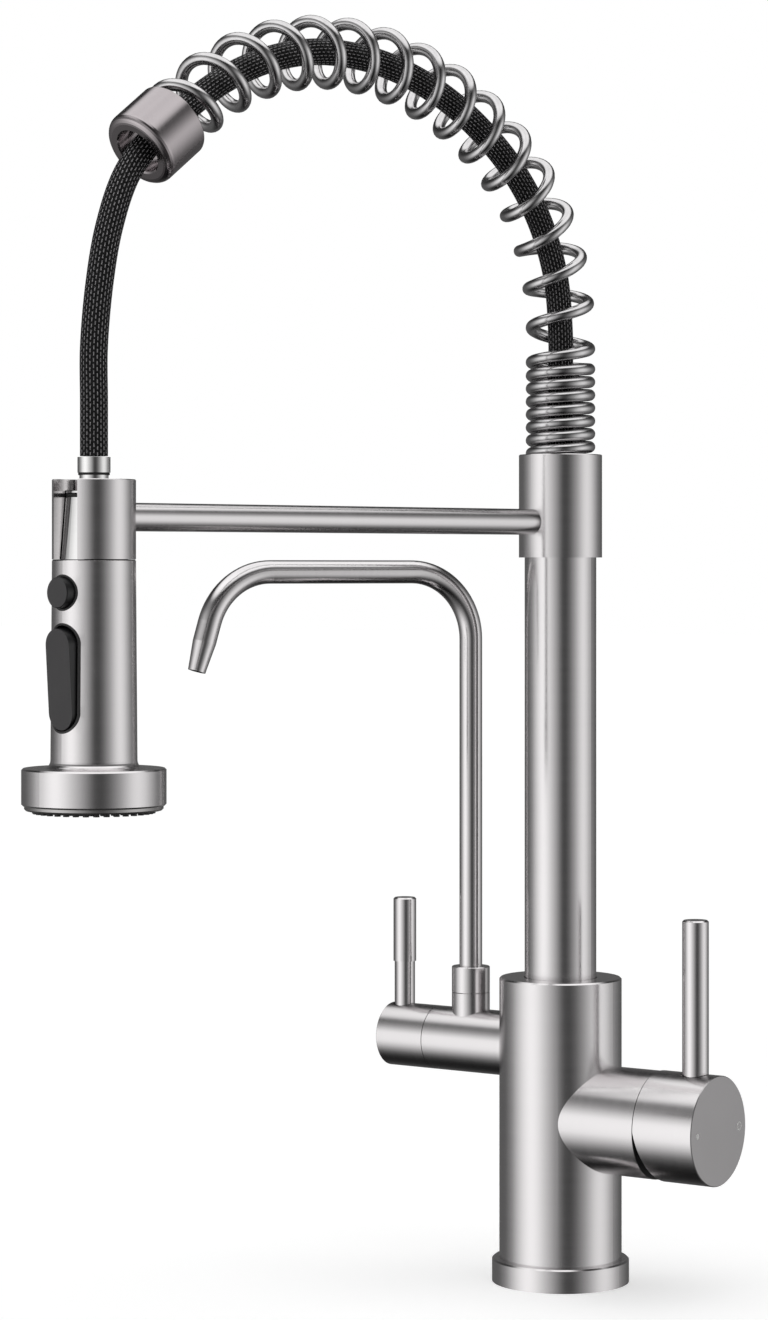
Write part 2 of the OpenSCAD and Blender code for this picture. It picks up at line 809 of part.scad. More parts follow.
module head_shell() {
    steps = 6;
    r_top = grip_top_d / 2;
    r_foot = grip_foot_d / 2;
    r_disc = disc_d / 2;
    drop = grip_l - flare_r;
    profile = concat(
        [[0, -grip_l - disc_l], [r_disc - bevel, -grip_l - disc_l], [r_disc, -grip_l - disc_l + bevel]],
        [[r_disc, -grip_l - bevel], [r_disc - bevel, -grip_l]],
        [for (i = [0 : steps]) let (a = 90 * i / steps)
            [r_foot + flare_r * (1 - sin(a)), -drop - flare_r * cos(a)]],
        [[r_top, -gap], [r_top - gap, 0], [0, 0]]
    );
    color("silver")
        difference() {
            on_head(head_top) rotate_extrude() polygon(profile);
            on_head(floor_top) cylinder(d = cavity_head_d, h = head_top - floor_top + over);
            on_head(disc_foot - over) cylinder(d = disc_cavity_d, h = disc_l - disc_skin + over);
            on_head(disc_foot) translate([-diverter_back, 0, 0])
                cylinder(d = check_valve_d, h = disc_l + floor_l + over);
            on_head(head_top - button_drop) facing_x()
                cylinder(d = button_d + 2 * button_gap, h = grip_top_d);
            on_head(head_top - rocker_drop) translate([rocker_back, 0, 0])
                obround(rocker_l + 2 * rocker_end_gap, rocker_w + 2 * rocker_side_gap, grip_top_d);
            on_head(head_top - rocker_drop) translate([rocker_pin_at, rocker_pin_l / 2 + fit, 0])
                rotate([90, 0, 0]) cylinder(d = rocker_pin_d + 2 * fit, h = rocker_pin_l + 2 * fit);
        }
}

// An upright slab with round ends, its thickness along +X.
module obround(l, w, thick) {
    rotate([90, 0, 90])
        linear_extrude(thick)
            union() {
                square([w, l - w], center = true);
                for (s = [-1, 1]) translate([0, s * (l - w) / 2]) circle(d = w);
            }
}

module head_neck() {
    d_ring = neck_foot_d + (neck_top_d - neck_foot_d) * ring_share;
    color("gainsboro")
        on_head(head_top)
            difference() {
                union() {
                    rotate_extrude()
                        polygon([
                            [0, 0], [neck_foot_d / 2, 0], [neck_top_d / 2, neck_rise], [0, neck_rise]
                        ]);
                    translate([0, 0, -neck_spigot_l])
                        cylinder(d = cavity_head_d - 2 * fit, h = neck_spigot_l);
                }
                translate([0, 0, check_top]) cylinder(d = swivel_d + 2 * fit, h = neck_rise);
                translate([0, 0, -neck_spigot_l - over])
                    cylinder(d = check_valve_d + 2 * fit, h = check_top + neck_spigot_l + over + fit);
                translate([0, 0, clip_z - fit])
                    cylinder(d = swivel_d + 4 * groove_depth, h = clip_l + 2 * fit);
                translate([0, 0, neck_rise * ring_share - ring_wire / 2])
                    tube(neck_foot_d + over, d_ring - 2 * ring_wire, ring_wire);
            }
}

module neck_ring() {
    d_ring = neck_foot_d + (neck_top_d - neck_foot_d) * ring_share;
    color([0.12, 0.12, 0.12])
        on_head(head_top + neck_rise * ring_share)
            o_ring(d_ring - ring_wire + 2 * fit, ring_wire - 2 * fit);
}

module swivel_clip() {
    color("dimgray")
        on_head(head_top + clip_z)
            tube(swivel_d + 4 * groove_depth - 2 * fit, swivel_d - 2 * groove_depth + 2 * fit, clip_l);
}

module check_valve() {
    color([0.92, 0.92, 0.88])
        on_head(head_top + check_top - check_valve_l)
            difference() {
                cylinder(d = check_valve_d, h = check_valve_l);
                cut(check_valve_d / 2, check_valve_l);
            }
}

module diverter() {
    color([0.92, 0.92, 0.88])
        on_head(floor_top) translate([-diverter_back, 0, 0])
            tube(diverter_d, check_valve_d, head_top - neck_spigot_l - gap - floor_top);
}

// Places of the spray nubs round the face.
module nub_places() {
    for (row = [[outer_nubs, outer_nub_share], [inner_nubs, inner_nub_share]], i = [0 : row[0] - 1])
        rotate([0, 0, 360 * i / row[0]]) translate([face_d / 2 * row[1], 0, 0]) children();
}

module spray_plate() {
    color([0.7, 0.7, 0.7])
        on_head(face_z)
            difference() {
                union() {
                    rotate_extrude()
                        polygon([
                            [0, 0], [face_d / 2 - bevel, 0], [face_d / 2, bevel],
                            [face_d / 2, rim_l - fit], [0, rim_l - fit]
                        ]);
                    cylinder(d = disc_cavity_d - 2 * fit, h = plate_l);
                }
                cut(aerator_d + 2 * fit, plate_l);
                nub_places() cut(nub_d + 2 * fit, plate_l);
            }
}

module nozzle_mat() {
    color([0.3, 0.3, 0.3])
        on_head(face_z) {
            translate([0, 0, plate_l]) tube(disc_cavity_d - gap, aerator_d + 2 * fit, mat_l);
            nub_places() translate([0, 0, -nub_out])
                cylinder(d = nub_d, h = nub_out + plate_l + mat_l / 2);
        }
}

module aerator() {
    color([0.35, 0.35, 0.35])
        on_head(face_z)
            difference() {
                cylinder(d = aerator_d, h = aerator_l);
                translate([0, 0, -over]) difference() {
                    cylinder(d = aerator_d - 2 * aerator_dish, h = aerator_dish + over);
                    for (i = [0 : slats - 1]) {
                        across = aerator_d * (i + 1) / (slats + 1) - aerator_d / 2 - slat_w / 2;
                        translate([across, -aerator_d / 2, 0])
                            cube([slat_w, aerator_d, aerator_dish + over]);
                        translate([-aerator_d / 2, across, 0])
                            cube([aerator_d, slat_w, aerator_dish + over]);
                    }
                }
            }
}

module pause_button() {
    color([0.18, 0.18, 0.18])
        on_head(head_top - button_drop) facing_x() {
            translate([0, 0, button_back]) bar(button_d, button_face - button_back, gap);
            translate([0, 0, button_back]) cylinder(d = flange_d, h = flange_l);
        }
}

module button_spring() {
    color("silver")
        on_head(head_top - button_drop)
            difference() {
                facing_x() tube(button_spring_d, button_spring_bore, button_back);
                translate([-diverter_back, 0, -diverter_d])
                    cylinder(d = diverter_d + 2 * fit, h = 2 * diverter_d);
            }
}

module rocker() {
    color([0.18, 0.18, 0.18])
        on_head(head_top - rocker_drop) translate([rocker_pin_at, 0, 0]) rotate([0, rocker_rest, 0])
            difference() {
                translate([rocker_back - rocker_pin_at, 0, 0])
                    obround(rocker_l, rocker_w, grip_top_d / 2 + rocker_out - rocker_back);
                translate([0, rocker_w, 0]) rotate([90, 0, 0])
                    cylinder(d = rocker_pin_d + 2 * fit, h = 2 * rocker_w);
            }
}

module rocker_pin() {
    color("silver")
        on_head(head_top - rocker_drop) translate([rocker_pin_at, rocker_pin_l / 2, 0])
            rotate([90, 0, 0]) cylinder(d = rocker_pin_d, h = rocker_pin_l);
}

// Mixer handle.

module moving_disc() {
    color([0.95, 0.95, 0.93])
        on_mixer(moving_seat)
            difference() {
                cylinder(d = moving_disc_d, h = disc_thick);
                translate([0, 0, -over])
                    cylinder(d = cartridge_d * water_way_share, h = disc_thick / 2 + over);
            }
}

module stem_carrier() {
    color([0.2, 0.2, 0.22])
        on_mixer()
            difference() {
                translate([0, 0, carrier_seat]) cylinder(d = carrier_d, h = carrier_front - carrier_seat);
                translate([-stem_d / 2 - stem_swing, -stem_d / 2 - gap, mixer_pivot - stem_back - gap])
                    cube([stem_d + 2 * stem_swing, stem_d + 2 * gap, cartridge_l]);
                translate([0, stem_pin_l / 2 + fit, mixer_pivot]) rotate([90, 0, 0])
                    cylinder(d = stem_pin_d + 2 * fit, h = stem_pin_l + 2 * fit);
            }
}

module stem_pin() {
    color("silver")
        on_mixer(mixer_pivot) translate([0, stem_pin_l / 2, 0]) rotate([90, 0, 0])
            cylinder(d = stem_pin_d, h = stem_pin_l);
}

module mixer_stem() {
    color("silver")
        on_mixer()
            difference() {
                translate([0, 0, stem_foot])
                    cylinder(d = stem_d, h = hub_solid + stem_in_hub - fit - stem_foot);
                translate([0, stem_d, mixer_pivot]) rotate([90, 0, 0])
                    cylinder(d = stem_pin_d + 2 * fit, h = 2 * stem_d);
            }
}

module mark_places(clear) {
    side = mixer_hub_d / 2 * mark_share;
    translate([0, side, 0]) cylinder(d = mark_d + clear, h = mark_depth + clear);
    translate([0, -side, 0]) tube(mark_ring_d + clear, mark_d - clear, mark_depth + clear);
}

module mixer_hub() {
    color("silver")
        on_mixer()
            difference() {
                translate([0, 0, hub_back]) bar(mixer_hub_d, mixer_hub_l, gap);
                translate([0, 0, hub_back - over]) cylinder(d = hub_hollow_d, h = hub_hollow_l + over);
                translate([0, 0, hub_solid - over])
                    cylinder(d = stem_d + 2 * fit, h = stem_in_hub + over);
                translate([0, 0, lever_at]) facing_x() {
                    translate([0, 0, lever_spigot_foot - gap])
                        cylinder(d = lever_spigot_d + 2 * fit, h = mixer_hub_d / 2);
                    translate([0, 0, lever_seat_r]) cylinder(d = lever_seat_d, h = mixer_hub_d / 2);
                }
                translate([0, 0, lever_at]) rotate([0, -90, 0])
                    cylinder(d = grub_d + 2 * fit, h = mixer_hub_d);
                translate([0, 0, hub_face - mark_depth]) mark_places(fit);
                translate([0, 0, hub_back]) rotate([0, 90 + relief_angle, 0]) rotate([0, 0, 180])
                    translate([0, -mixer_hub_d, 0]) relief_block();
            }
}

// The block that cuts the slanted relief under the handle barrel's back edge.
module relief_block() {
    translate([-mixer_hub_d, 0, -2 * mixer_hub_d]) cube([mixer_hub_d, 2 * mixer_hub_d, 2 * mixer_hub_d]);
}

module mixer_lever() {
    color("silver")
        on_mixer(lever_at) facing_x() {
            translate([0, 0, lever_seat_r + fit]) bar(lever_d, lever_l - lever_seat_r - fit);
            translate([0, 0, lever_spigot_foot])
                cylinder(d = lever_spigot_d, h = lever_seat_r + fit - lever_spigot_foot);
        }
}

module mixer_marks() {
    color("white")
        on_mixer(hub_face - mark_depth + fit) mark_places(0);
}

module hub_grub_screw() {
    color("dimgray")
        on_mixer(lever_at) rotate([0, -90, 0]) translate([0, 0, stem_d / 2 + fit])
            cylinder(d = grub_d, h = 2 * grub_d);
}

// Drinking-water tap.

module tap_housing() {
    color("silver")
        difference() {
            union() {
                on_tap(tap_tail) cylinder(d = tap_spigot_d, h = body_d / 2);
                difference() {
                    union() {
                        on_tap() cylinder(d = tap_d, h = tap_barrel_l);
                        translate([-spout_at, 0, tap_h]) cylinder(d = socket_d, h = socket_up);
                    }
                    cut(body_d + 2 * fit, body_h);
                }
            }
            on_tap(tap_tail + tap_way_d / 2) translate([-tap_way_drop, 0, 0])
                cylinder(d = tap_way_d, h = valve_back - tap_tail);
            on_tap(valve_back) cylinder(d = valve_d + 2 * fit, h = valve_l + over);
            translate([-port_circle, 0, tap_h - tap_spigot_d])
                cylinder(d = pipe_d + 2 * fit, h = tap_spigot_d * 3 / 4);
            translate([-spout_at, 0, tap_h + tap_way_drop - tap_way_d])
                cylinder(d = spout_d - 2 * spout_wall, h = socket_up);
            on_tap(spout_at) translate([tap_way_drop, 0, 0])
                cylinder(d = tap_way_d, h = valve_back - spout_at + over);
            translate([-spout_at, 0, post_foot - gap]) cylinder(d = spout_d + 2 * fit, h = socket_up);
            for (i = [0, 1])
                translate([-spout_at, 0, socket_top - over - (i + 1) * (o_ring_wire + over)])
                    translate([0, 0, o_ring_wire / 2])
                        cylinder(d = spout_d + 2 * o_ring_wire, h = o_ring_wire);
        }
}

module spout_o_rings() {
    color([0.12, 0.12, 0.12])
        for (i = [0, 1])
            translate([-spout_at, 0, socket_top - over - (i + 1) * (o_ring_wire + over) + o_ring_wire])
                o_ring(spout_d + o_ring_wire, o_ring_wire - 2 * fit);
}

module tap_valve() {
    color([0.78, 0.62, 0.32])
        on_tap(valve_back)
            difference() {
                cylinder(d = valve_d, h = valve_l - gap);
                translate([0, 0, disc_thick / 2])
                    cylinder(d = tap_disc_d + 2 * gap, h = tap_disc_l + 2 * disc_gap);
                translate([0, 0, disc_thick / 2]) cylinder(d = tap_stem_d + 2 * fit, h = valve_l);
                for (s = [-1, 1]) translate([s * tap_way_drop, 0, 0]) cut(tap_way_d / 2, disc_thick / 2);
            }
}

module tap_disc() {
    color([0.95, 0.95, 0.93])
        on_tap(valve_back + disc_thick / 2 + disc_gap)
            difference() {
                cylinder(d = tap_disc_d, h = tap_disc_l);
                translate([tap_way_drop, 0, 0]) cut(tap_way_d / 2, tap_disc_l);
            }
}

module tap_stem() {
    foot = valve_back + disc_thick / 2 + disc_gap + tap_disc_l;
    color("silver")
        on_tap(foot) cylinder(d = tap_stem_d, h = tap_hub_back + tap_stem_in_hub - foot);
}

module tap_hub() {
    seat = tap_d * tap_seat_share;
    color("silver")
        on_tap()
            difference() {
                translate([0, 0, tap_hub_back]) bar(tap_d, tap_hub_l, gap);
                translate([0, 0, tap_hub_back - over])
                    cylinder(d = tap_stem_d + 2 * fit, h = tap_stem_in_hub + over + fit);
                translate([0, 0, tap_lever_at]) facing_x() {
                    translate([0, 0, tap_core_foot - gap]) cylinder(d = tap_core_d + 2 * fit, h = tap_d);
                    translate([0, 0, seat]) cylinder(d = tap_seat_d, h = tap_d);
                }
                translate([0, 0, tap_face - tap_grub_back]) rotate([0, -90, 0])
                    cylinder(d = screw_d + 2 * fit, h = tap_d);
            }
}

module tap_lever() {
    seat = tap_d * tap_seat_share + fit;
    split = tap_lever_l - tap_grip_l;
    color("silver")
        on_tap(tap_lever_at) facing_x() {
            translate([0, 0, seat]) cylinder(d = tap_lever_d, h = split - seat);
            translate([0, 0, tap_core_foot])
                cylinder(d = tap_core_d, h = split + tap_core_in_grip - tap_core_foot);
        }
}

module tap_grip() {
    split = tap_lever_l - tap_grip_l + fit;
    color("silver")
        on_tap(tap_lever_at) facing_x() translate([0, 0, split])
            difference() {
                bar(tap_grip_d, tap_grip_l - fit);
                translate([0, 0, -over]) cylinder(d = tap_core_d + 2 * fit, h = tap_core_in_grip + over);
            }
}

module tap_grub_screw() {
    color("dimgray")
        on_tap(tap_face - tap_grub_back) rotate([0, -90, 0]) translate([0, 0, tap_stem_d / 2 + fit])
            cylinder(d = screw_d, h = (tap_d - tap_stem_d) / 2 - over);
}

// Drinking-water spout: a post, a quarter bend, a level run, a part bend and a tapered tip.
module filter_spout() {
    rise = spout_h - spout_bend_r - post_foot;
    color("silver")
        on_spout(post_foot)
            union() {
                spout_run(rise);
                translate([spout_bend_r, 0, rise]) mirror([1, 0, 0]) quarter_bend();
                translate([spout_bend_r, 0, rise + spout_bend_r]) facing_x() spout_run(run_l);
                translate([spout_bend_r + run_l, 0, rise]) {
                    intersection() {
                        quarter_bend();
                        in_drop() translate([-spout_bend_r, -spout_bend_r, -2 * spout_bend_r])
                            cube(2 * spout_bend_r);
                    }
                    in_drop() spout_tip();
                }
            }
}

// The frame of the spout's straight end, its +Z along the flow, from the second bend's centre.
module in_drop() rotate([0, 90 + drop_angle, 0]) translate([-spout_bend_r, 0, 0]) children();

module spout_run(h) {
    rotate_extrude() translate([spout_d / 2 - spout_wall, 0]) square([spout_wall, h]);
}

// A quarter of a ring of tube in the XZ plane, from level on +X up to +Z.
module quarter_bend() {
    rotate([90, 0, 0]) rotate_extrude(angle = 90) translate([spout_bend_r, 0])
        difference() {
            circle(d = spout_d);
            circle(d = spout_d - 2 * spout_wall);
        }
}

module spout_tip() {
    r = [spout_d / 2, tip_d / 2];
    rotate_extrude()
        polygon([
            [r[0] - spout_wall, 0], [r[0], 0], [r[0], tip_l - taper_l], [r[1], tip_l],
            [r[1] - spout_wall, tip_l], [r[0] - spout_wall, tip_l - taper_l]
        ]);
}

module spout_collar() {
    color("silver")
        on_spout(socket_top + gap)
            difference() {
                bar(socket_d, collar_up, gap);
                cut(spout_d + 2 * fit, collar_up);
            }
}

base_ring();
deck_gasket();
main_body();
inlet_block();
hot_pipe();
cold_pipe();
outlet_pipe();
tap_pipe();
mixer_manifold();
mixer_cartridge();
fixed_disc();
cartridge_nut();
column_bush();
retaining_screw();
tap_housing();
tap_valve();
spout_o_rings();
column_tube();
collar();
collar_set_screw();
arm_rod();
dock();
dock_screw();
spring();
end_cap();
hose_guide();
hose();
hose_ferrule();
hose_swivel();
swivel_o_ring();
head_shell();
head_neck();
neck_ring();
swivel_clip();
check_valve();
diverter();
spray_plate();
nozzle_mat();
aerator();
pause_button();
button_spring();
rocker();
rocker_pin();
moving_disc();
stem_carrier();
stem_pin();
mixer_stem();
mixer_hub();
mixer_lever();
mixer_marks();
hub_grub_screw();
tap_stem();
tap_disc();
tap_hub();
tap_lever();
tap_grip();
tap_grub_screw();
filter_spout();
spout_collar();
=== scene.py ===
# Three-way kitchen faucet: camera, studio, finishes and the detailed pieces
import math

import bpy
from mathutils import Matrix, Vector


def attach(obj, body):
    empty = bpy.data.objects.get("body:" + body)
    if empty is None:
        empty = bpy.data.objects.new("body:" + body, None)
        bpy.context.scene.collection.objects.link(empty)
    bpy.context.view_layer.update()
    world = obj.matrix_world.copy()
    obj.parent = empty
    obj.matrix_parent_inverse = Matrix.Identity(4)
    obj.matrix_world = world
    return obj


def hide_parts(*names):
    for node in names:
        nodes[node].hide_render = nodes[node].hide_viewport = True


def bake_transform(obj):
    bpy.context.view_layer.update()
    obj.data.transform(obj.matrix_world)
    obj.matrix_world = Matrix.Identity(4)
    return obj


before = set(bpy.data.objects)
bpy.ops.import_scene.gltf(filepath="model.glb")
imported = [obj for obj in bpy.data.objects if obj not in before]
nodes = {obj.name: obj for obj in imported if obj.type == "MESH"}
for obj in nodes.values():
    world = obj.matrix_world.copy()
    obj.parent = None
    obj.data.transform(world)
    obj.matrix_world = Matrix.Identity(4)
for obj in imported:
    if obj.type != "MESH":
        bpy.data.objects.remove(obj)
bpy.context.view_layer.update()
print("frame loaded:", len(nodes), "nodes")


# Camera

cameraValues = {
    "azimuth": 35,        # degrees from the front towards the mixer
    "distance": 1.432,
    "sideStep": 0.0722,   # how far the camera stands left of the column
    "height": 0.2913,
    "lens": 95.45,
    "sensor": 36,
    "shiftUp": -0.0697,
    "farthest": 50,
}


def facing(azimuth):
    a = math.radians(azimuth)  # the way back from the object to the camera, and the way to its right
    return Vector((math.sin(a), -math.cos(a), 0)), Vector((math.cos(a), math.sin(a), 0))


def addCamera(values):
    back, right = facing(values["azimuth"])
    spot = back * values["distance"] - right * values["sideStep"] + Vector((0, 0, values["height"]))
    bpy.ops.object.camera_add(location=spot, rotation=(math.radians(90), 0, math.radians(values["azimuth"])))
    camera = bpy.context.object
    camera.name = "photoCamera"
    camera.data.lens = values["lens"]
    camera.data.sensor_width = values["sensor"]
    camera.data.shift_y = values["shiftUp"]
    camera.data.clip_end = values["farthest"]
    bpy.context.scene.camera = camera


addCamera(cameraValues)
print("camera placed")


# Small helpers for node trees

def addNode(tree, kind, values=None, **settings):
    node = tree.nodes.new(kind)
    for name, value in settings.items():
        setattr(node, name, value)
    for name, value in (values or {}).items():
        node.inputs[name].default_value = value
    return node


def mathNode(tree, operation, first, second=None, clamp=False):
    node = addNode(tree, "ShaderNodeMath", operation=operation, use_clamp=clamp)
    for i, value in enumerate((first, second)):
        if value is None:
            continue
        if isinstance(value, (int, float)):
            node.inputs[i].default_value = value
        else:
            tree.links.new(value, node.inputs[i])
    return node.outputs[0]


def weighted(tree, first, share, second, otherShare):
    return mathNode(tree, "ADD", mathNode(tree, "MULTIPLY", first, share),
                    mathNode(tree, "MULTIPLY", second, otherShare))


def scaled(tree, vector, amounts):
    node = addNode(tree, "ShaderNodeVectorMath", operation="MULTIPLY")
    tree.links.new(vector, node.inputs[0])
    node.inputs[1].default_value = amounts
    return node.outputs[0]


def lengthOf(tree, vector):
    node = addNode(tree, "ShaderNodeVectorMath", operation="LENGTH")
    tree.links.new(vector, node.inputs[0])
    return node.outputs["Value"]


def spread(tree, value, low, high, outLow=0.0, outHigh=1.0):
    node = addNode(tree, "ShaderNodeMapRange")
    tree.links.new(value, node.inputs["Value"])
    for name, number in (("From Min", low), ("From Max", high), ("To Min", outLow), ("To Max", outHigh)):
        node.inputs[name].default_value = number
    return node.outputs["Result"]


def rampOf(tree, value, stops):
    node = addNode(tree, "ShaderNodeValToRGB")
    tree.links.new(value, node.inputs["Fac"])
    points = node.color_ramp.elements
    while len(points) > 1:
        points.remove(points[-1])
    points[0].position, points[0].color = stops[0][0], (*[stops[0][1]] * 3, 1)
    for place, level in stops[1:]:
        points.new(place).color = (level, level, level, 1)
    return node.outputs["Color"]


def newMaterial(name):
    material = bpy.data.materials.new(name)
    material.use_nodes = True
    tree = material.node_tree
    shader = tree.nodes["Principled BSDF"]
    return material, tree, shader


def seenDirectly(tree):  # one for rays from the camera, off the steel or through glass, else nothing
    rays = addNode(tree, "ShaderNodeLightPath")
    seen = mathNode(tree, "ADD", rays.outputs["Is Camera Ray"], rays.outputs["Is Glossy Ray"], clamp=True)
    return mathNode(tree, "ADD", seen, rays.outputs["Is Transmission Ray"], clamp=True)


# Studio: a white room, a pale floor and a light tent of soft bands that the steel reflects

studioValues = {
    "tentRadius": 4.0,
    "tentSegments": 48,
    "tentRings": 24,
    "steelShine": 0.75,      # the bands in the steel are the tent's levels divided by this
    "diffuseLift": 1.55,     # how much brighter the tent is for light that the floor scatters
    "floorSize": 24.0,
    "floorNear": 0.25,       # the floor is lit paint up to here
    "floorFar": 0.8,         # and plain white from here on
    "floorColour": 0.9,
    "floorGlow": 0.43,
    "floorRoughness": 0.9,
    "floorSpecular": 0.1,
}
# brightness of the tent by angle from the camera, to the right, in degrees
sideBands = [
    (-180, 0.09), (-147, 0.09), (-128, 0.10), (-112, 0.19), (-104, 0.27), (-90, 0.52), (-77, 0.75),
    (-65, 0.90), (-55, 0.91), (-44, 0.78), (-35, 0.62), (-24, 0.45), (-14, 0.30), (-5, 0.16),
    (3, 0.062), (14, 0.05), (24, 0.10), (34, 0.20), (44, 0.32), (54, 0.48), (65, 0.66), (77, 0.73),
    (90, 0.62), (104, 0.40), (122, 0.18), (147, 0.085), (180, 0.09),
]
# share of those bands by height in degrees, and the ceiling's own brightness
bandHeights = [
    (-90, 0.08), (-60, 0.1), (-52, 0.14), (-45, 0.24), (-37, 0.45), (-28, 0.7), (-18, 0.95), (-8, 1),
    (10, 1), (19, 0.72), (28, 0.42), (36, 0.24), (44, 0.18), (60, 0.12), (90, 0.1),
]
ceilingHeights = [(-90, 0), (44, 0), (52, 0.7), (60, 0.9), (90, 0.8)]


def addFloor(values):
    bpy.ops.mesh.primitive_plane_add(size=values["floorSize"])
    floor = bpy.context.object
    floor.name = "paleFloor"
    material, tree, shader = newMaterial("paleFloorPaint")
    shader.inputs["Roughness"].default_value = values["floorRoughness"]
    shader.inputs["Specular IOR Level"].default_value = values["floorSpecular"]
    shader.inputs["Emission Color"].default_value = (1, 1, 1, 1)
    place = addNode(tree, "ShaderNodeTexCoord")
    far = spread(tree, lengthOf(tree, place.outputs["Object"]), values["floorNear"], values["floorFar"])
    paint = spread(tree, far, 0, 1, values["floorColour"], 0)
    tree.links.new(paint, shader.inputs["Base Color"])
    glow = spread(tree, far, 0, 1, values["floorGlow"], 1)
    tree.links.new(mathNode(tree, "MULTIPLY", seenDirectly(tree), glow), shader.inputs["Emission Strength"])
    floor.data.materials.append(material)
    floor.visible_glossy = False


def heightRamp(tree, share, stops):
    return rampOf(tree, share, [((height + 90) / 180, level) for height, level in stops])


def addTent(values):
    bpy.ops.mesh.primitive_uv_sphere_add(
        radius=values["tentRadius"], segments=values["tentSegments"], ring_count=values["tentRings"])
    tent = bpy.context.object
    tent.name = "lightTent"
    tent.visible_camera = False
    tent.visible_shadow = False
    material = bpy.data.materials.new("tentCloth")
    material.use_nodes = True
    tree = material.node_tree
    tree.nodes.clear()
    place = addNode(tree, "ShaderNodeTexCoord")
    turn = addNode(tree, "ShaderNodeMapping")
    turn.inputs["Rotation"].default_value = (0, 0, math.radians(90 - cameraValues["azimuth"]))
    tree.links.new(place.outputs["Object"], turn.inputs["Vector"])
    axes = addNode(tree, "ShaderNodeSeparateXYZ")
    tree.links.new(turn.outputs["Vector"], axes.inputs[0])
    around = mathNode(tree, "ARCTAN2", axes.outputs["Y"], axes.outputs["X"])
    aroundShare = spread(tree, around, -math.pi, math.pi)
    height = mathNode(tree, "ARCSINE", mathNode(tree, "DIVIDE", axes.outputs["Z"], values["tentRadius"]))
    heightShare = spread(tree, height, -math.pi / 2, math.pi / 2)
    bands = rampOf(tree, aroundShare, [((angle + 180) / 360, level) for angle, level in sideBands])
    walls = mathNode(tree, "MULTIPLY", bands, heightRamp(tree, heightShare, bandHeights))
    level = mathNode(tree, "ADD", walls, heightRamp(tree, heightShare, ceilingHeights))
    rays = addNode(tree, "ShaderNodeLightPath")
    lift = spread(tree, rays.outputs["Is Diffuse Ray"], 0, 1, 1 / values["steelShine"], values["diffuseLift"])
    glow = addNode(tree, "ShaderNodeEmission")
    tree.links.new(mathNode(tree, "MULTIPLY", level, lift), glow.inputs["Strength"])
    out = addNode(tree, "ShaderNodeOutputMaterial")
    tree.links.new(glow.outputs[0], out.inputs["Surface"])
    tent.data.materials.append(material)


def setWorld():
    world = bpy.data.worlds.new("whiteRoom")
    bpy.context.scene.world = world
    world.use_nodes = True
    tree = world.node_tree
    background = tree.nodes["Background"]
    background.inputs["Color"].default_value = (1, 1, 1, 1)
    tree.links.new(seenDirectly(tree), background.inputs["Strength"])


bpy.ops.object.select_all(action="DESELECT")
addFloor(studioValues)
addTent(studioValues)
setWorld()
bpy.context.scene.view_settings.view_transform = "Standard"
print("studio ready")


# Shared effects, each a node group that puts out values or masks

def newGroup(name, inputs, outputs):
    tree = bpy.data.node_groups.new(name, "ShaderNodeTree")
    for label, kind in inputs:
        tree.interface.new_socket(name=label, in_out="INPUT", socket_type="NodeSocket" + kind)
    for label in outputs:
        tree.interface.new_socket(name=label, in_out="OUTPUT", socket_type="NodeSocketFloat")
    return tree, addNode(tree, "NodeGroupInput"), addNode(tree, "NodeGroupOutput")


def noiseAt(tree, vector, values):
    settings = {"Scale": values.get("scale", 1), "Detail": values["detail"], "Roughness": values["rough"]}
    node = addNode(tree, "ShaderNodeTexNoise", settings)
    tree.links.new(vector, node.inputs["Vector"])
    return node.outputs["Fac"]


def stretched(tree, vector, around, along):
    parts = addNode(tree, "ShaderNodeSeparateXYZ")
    tree.links.new(vector, parts.inputs[0])
    whole = addNode(tree, "ShaderNodeCombineXYZ")
    for name, share in (("X", around), ("Y", around), ("Z", along)):
        tree.links.new(mathNode(tree, "MULTIPLY", parts.outputs[name], share), whole.inputs[name])
    return whole.outputs[0]


usualNoise = (0.3, 0.7)    # nearly all of a noise lies between these

grainValues = {  # around: lines round the axis stretch by this; along: the broad bands' share of the lines
    "fine": {"around": 30, "detail": 3, "rough": 0.6, "share": 0.65},
    "broad": {"around": 9, "along": 0.12, "detail": 2, "rough": 0.5, "share": 0.35},
}


def makeTurnedGrain(values):  # fine lines round the part's axis, which is the vector's Z
    tree, given, made = newGroup("turnedGrain", [("Vector", "Vector"), ("Lines", "Float")], ["Streaks"])
    vector, lines = given.outputs["Vector"], given.outputs["Lines"]
    fine, broad = values["fine"], values["broad"]
    broadLines = mathNode(tree, "MULTIPLY", lines, broad["along"])
    fineNoise = noiseAt(tree, stretched(tree, vector, fine["around"], lines), fine)
    broadNoise = noiseAt(tree, stretched(tree, vector, broad["around"], broadLines), broad)
    both = weighted(tree, fineNoise, fine["share"], broadNoise, broad["share"])
    tree.links.new(both, made.inputs["Streaks"])
    return tree


markValues = {"scale": 22, "detail": 4, "rough": 0.6, "from": 0.42, "to": 0.7}


def makeHandlingMarks(values):  # soft patches that hands and water leave
    tree, given, made = newGroup("handlingMarks", [("Vector", "Vector")], ["Patches"])
    patches = noiseAt(tree, given.outputs["Vector"], values)
    tree.links.new(spread(tree, patches, values["from"], values["to"]), made.inputs["Patches"])
    return tree


mouldValues = {
    "grain": {"scale": 2600, "detail": 3, "rough": 0.6},
    "cloud": {"scale": 60, "detail": 3, "rough": 0.5},
}


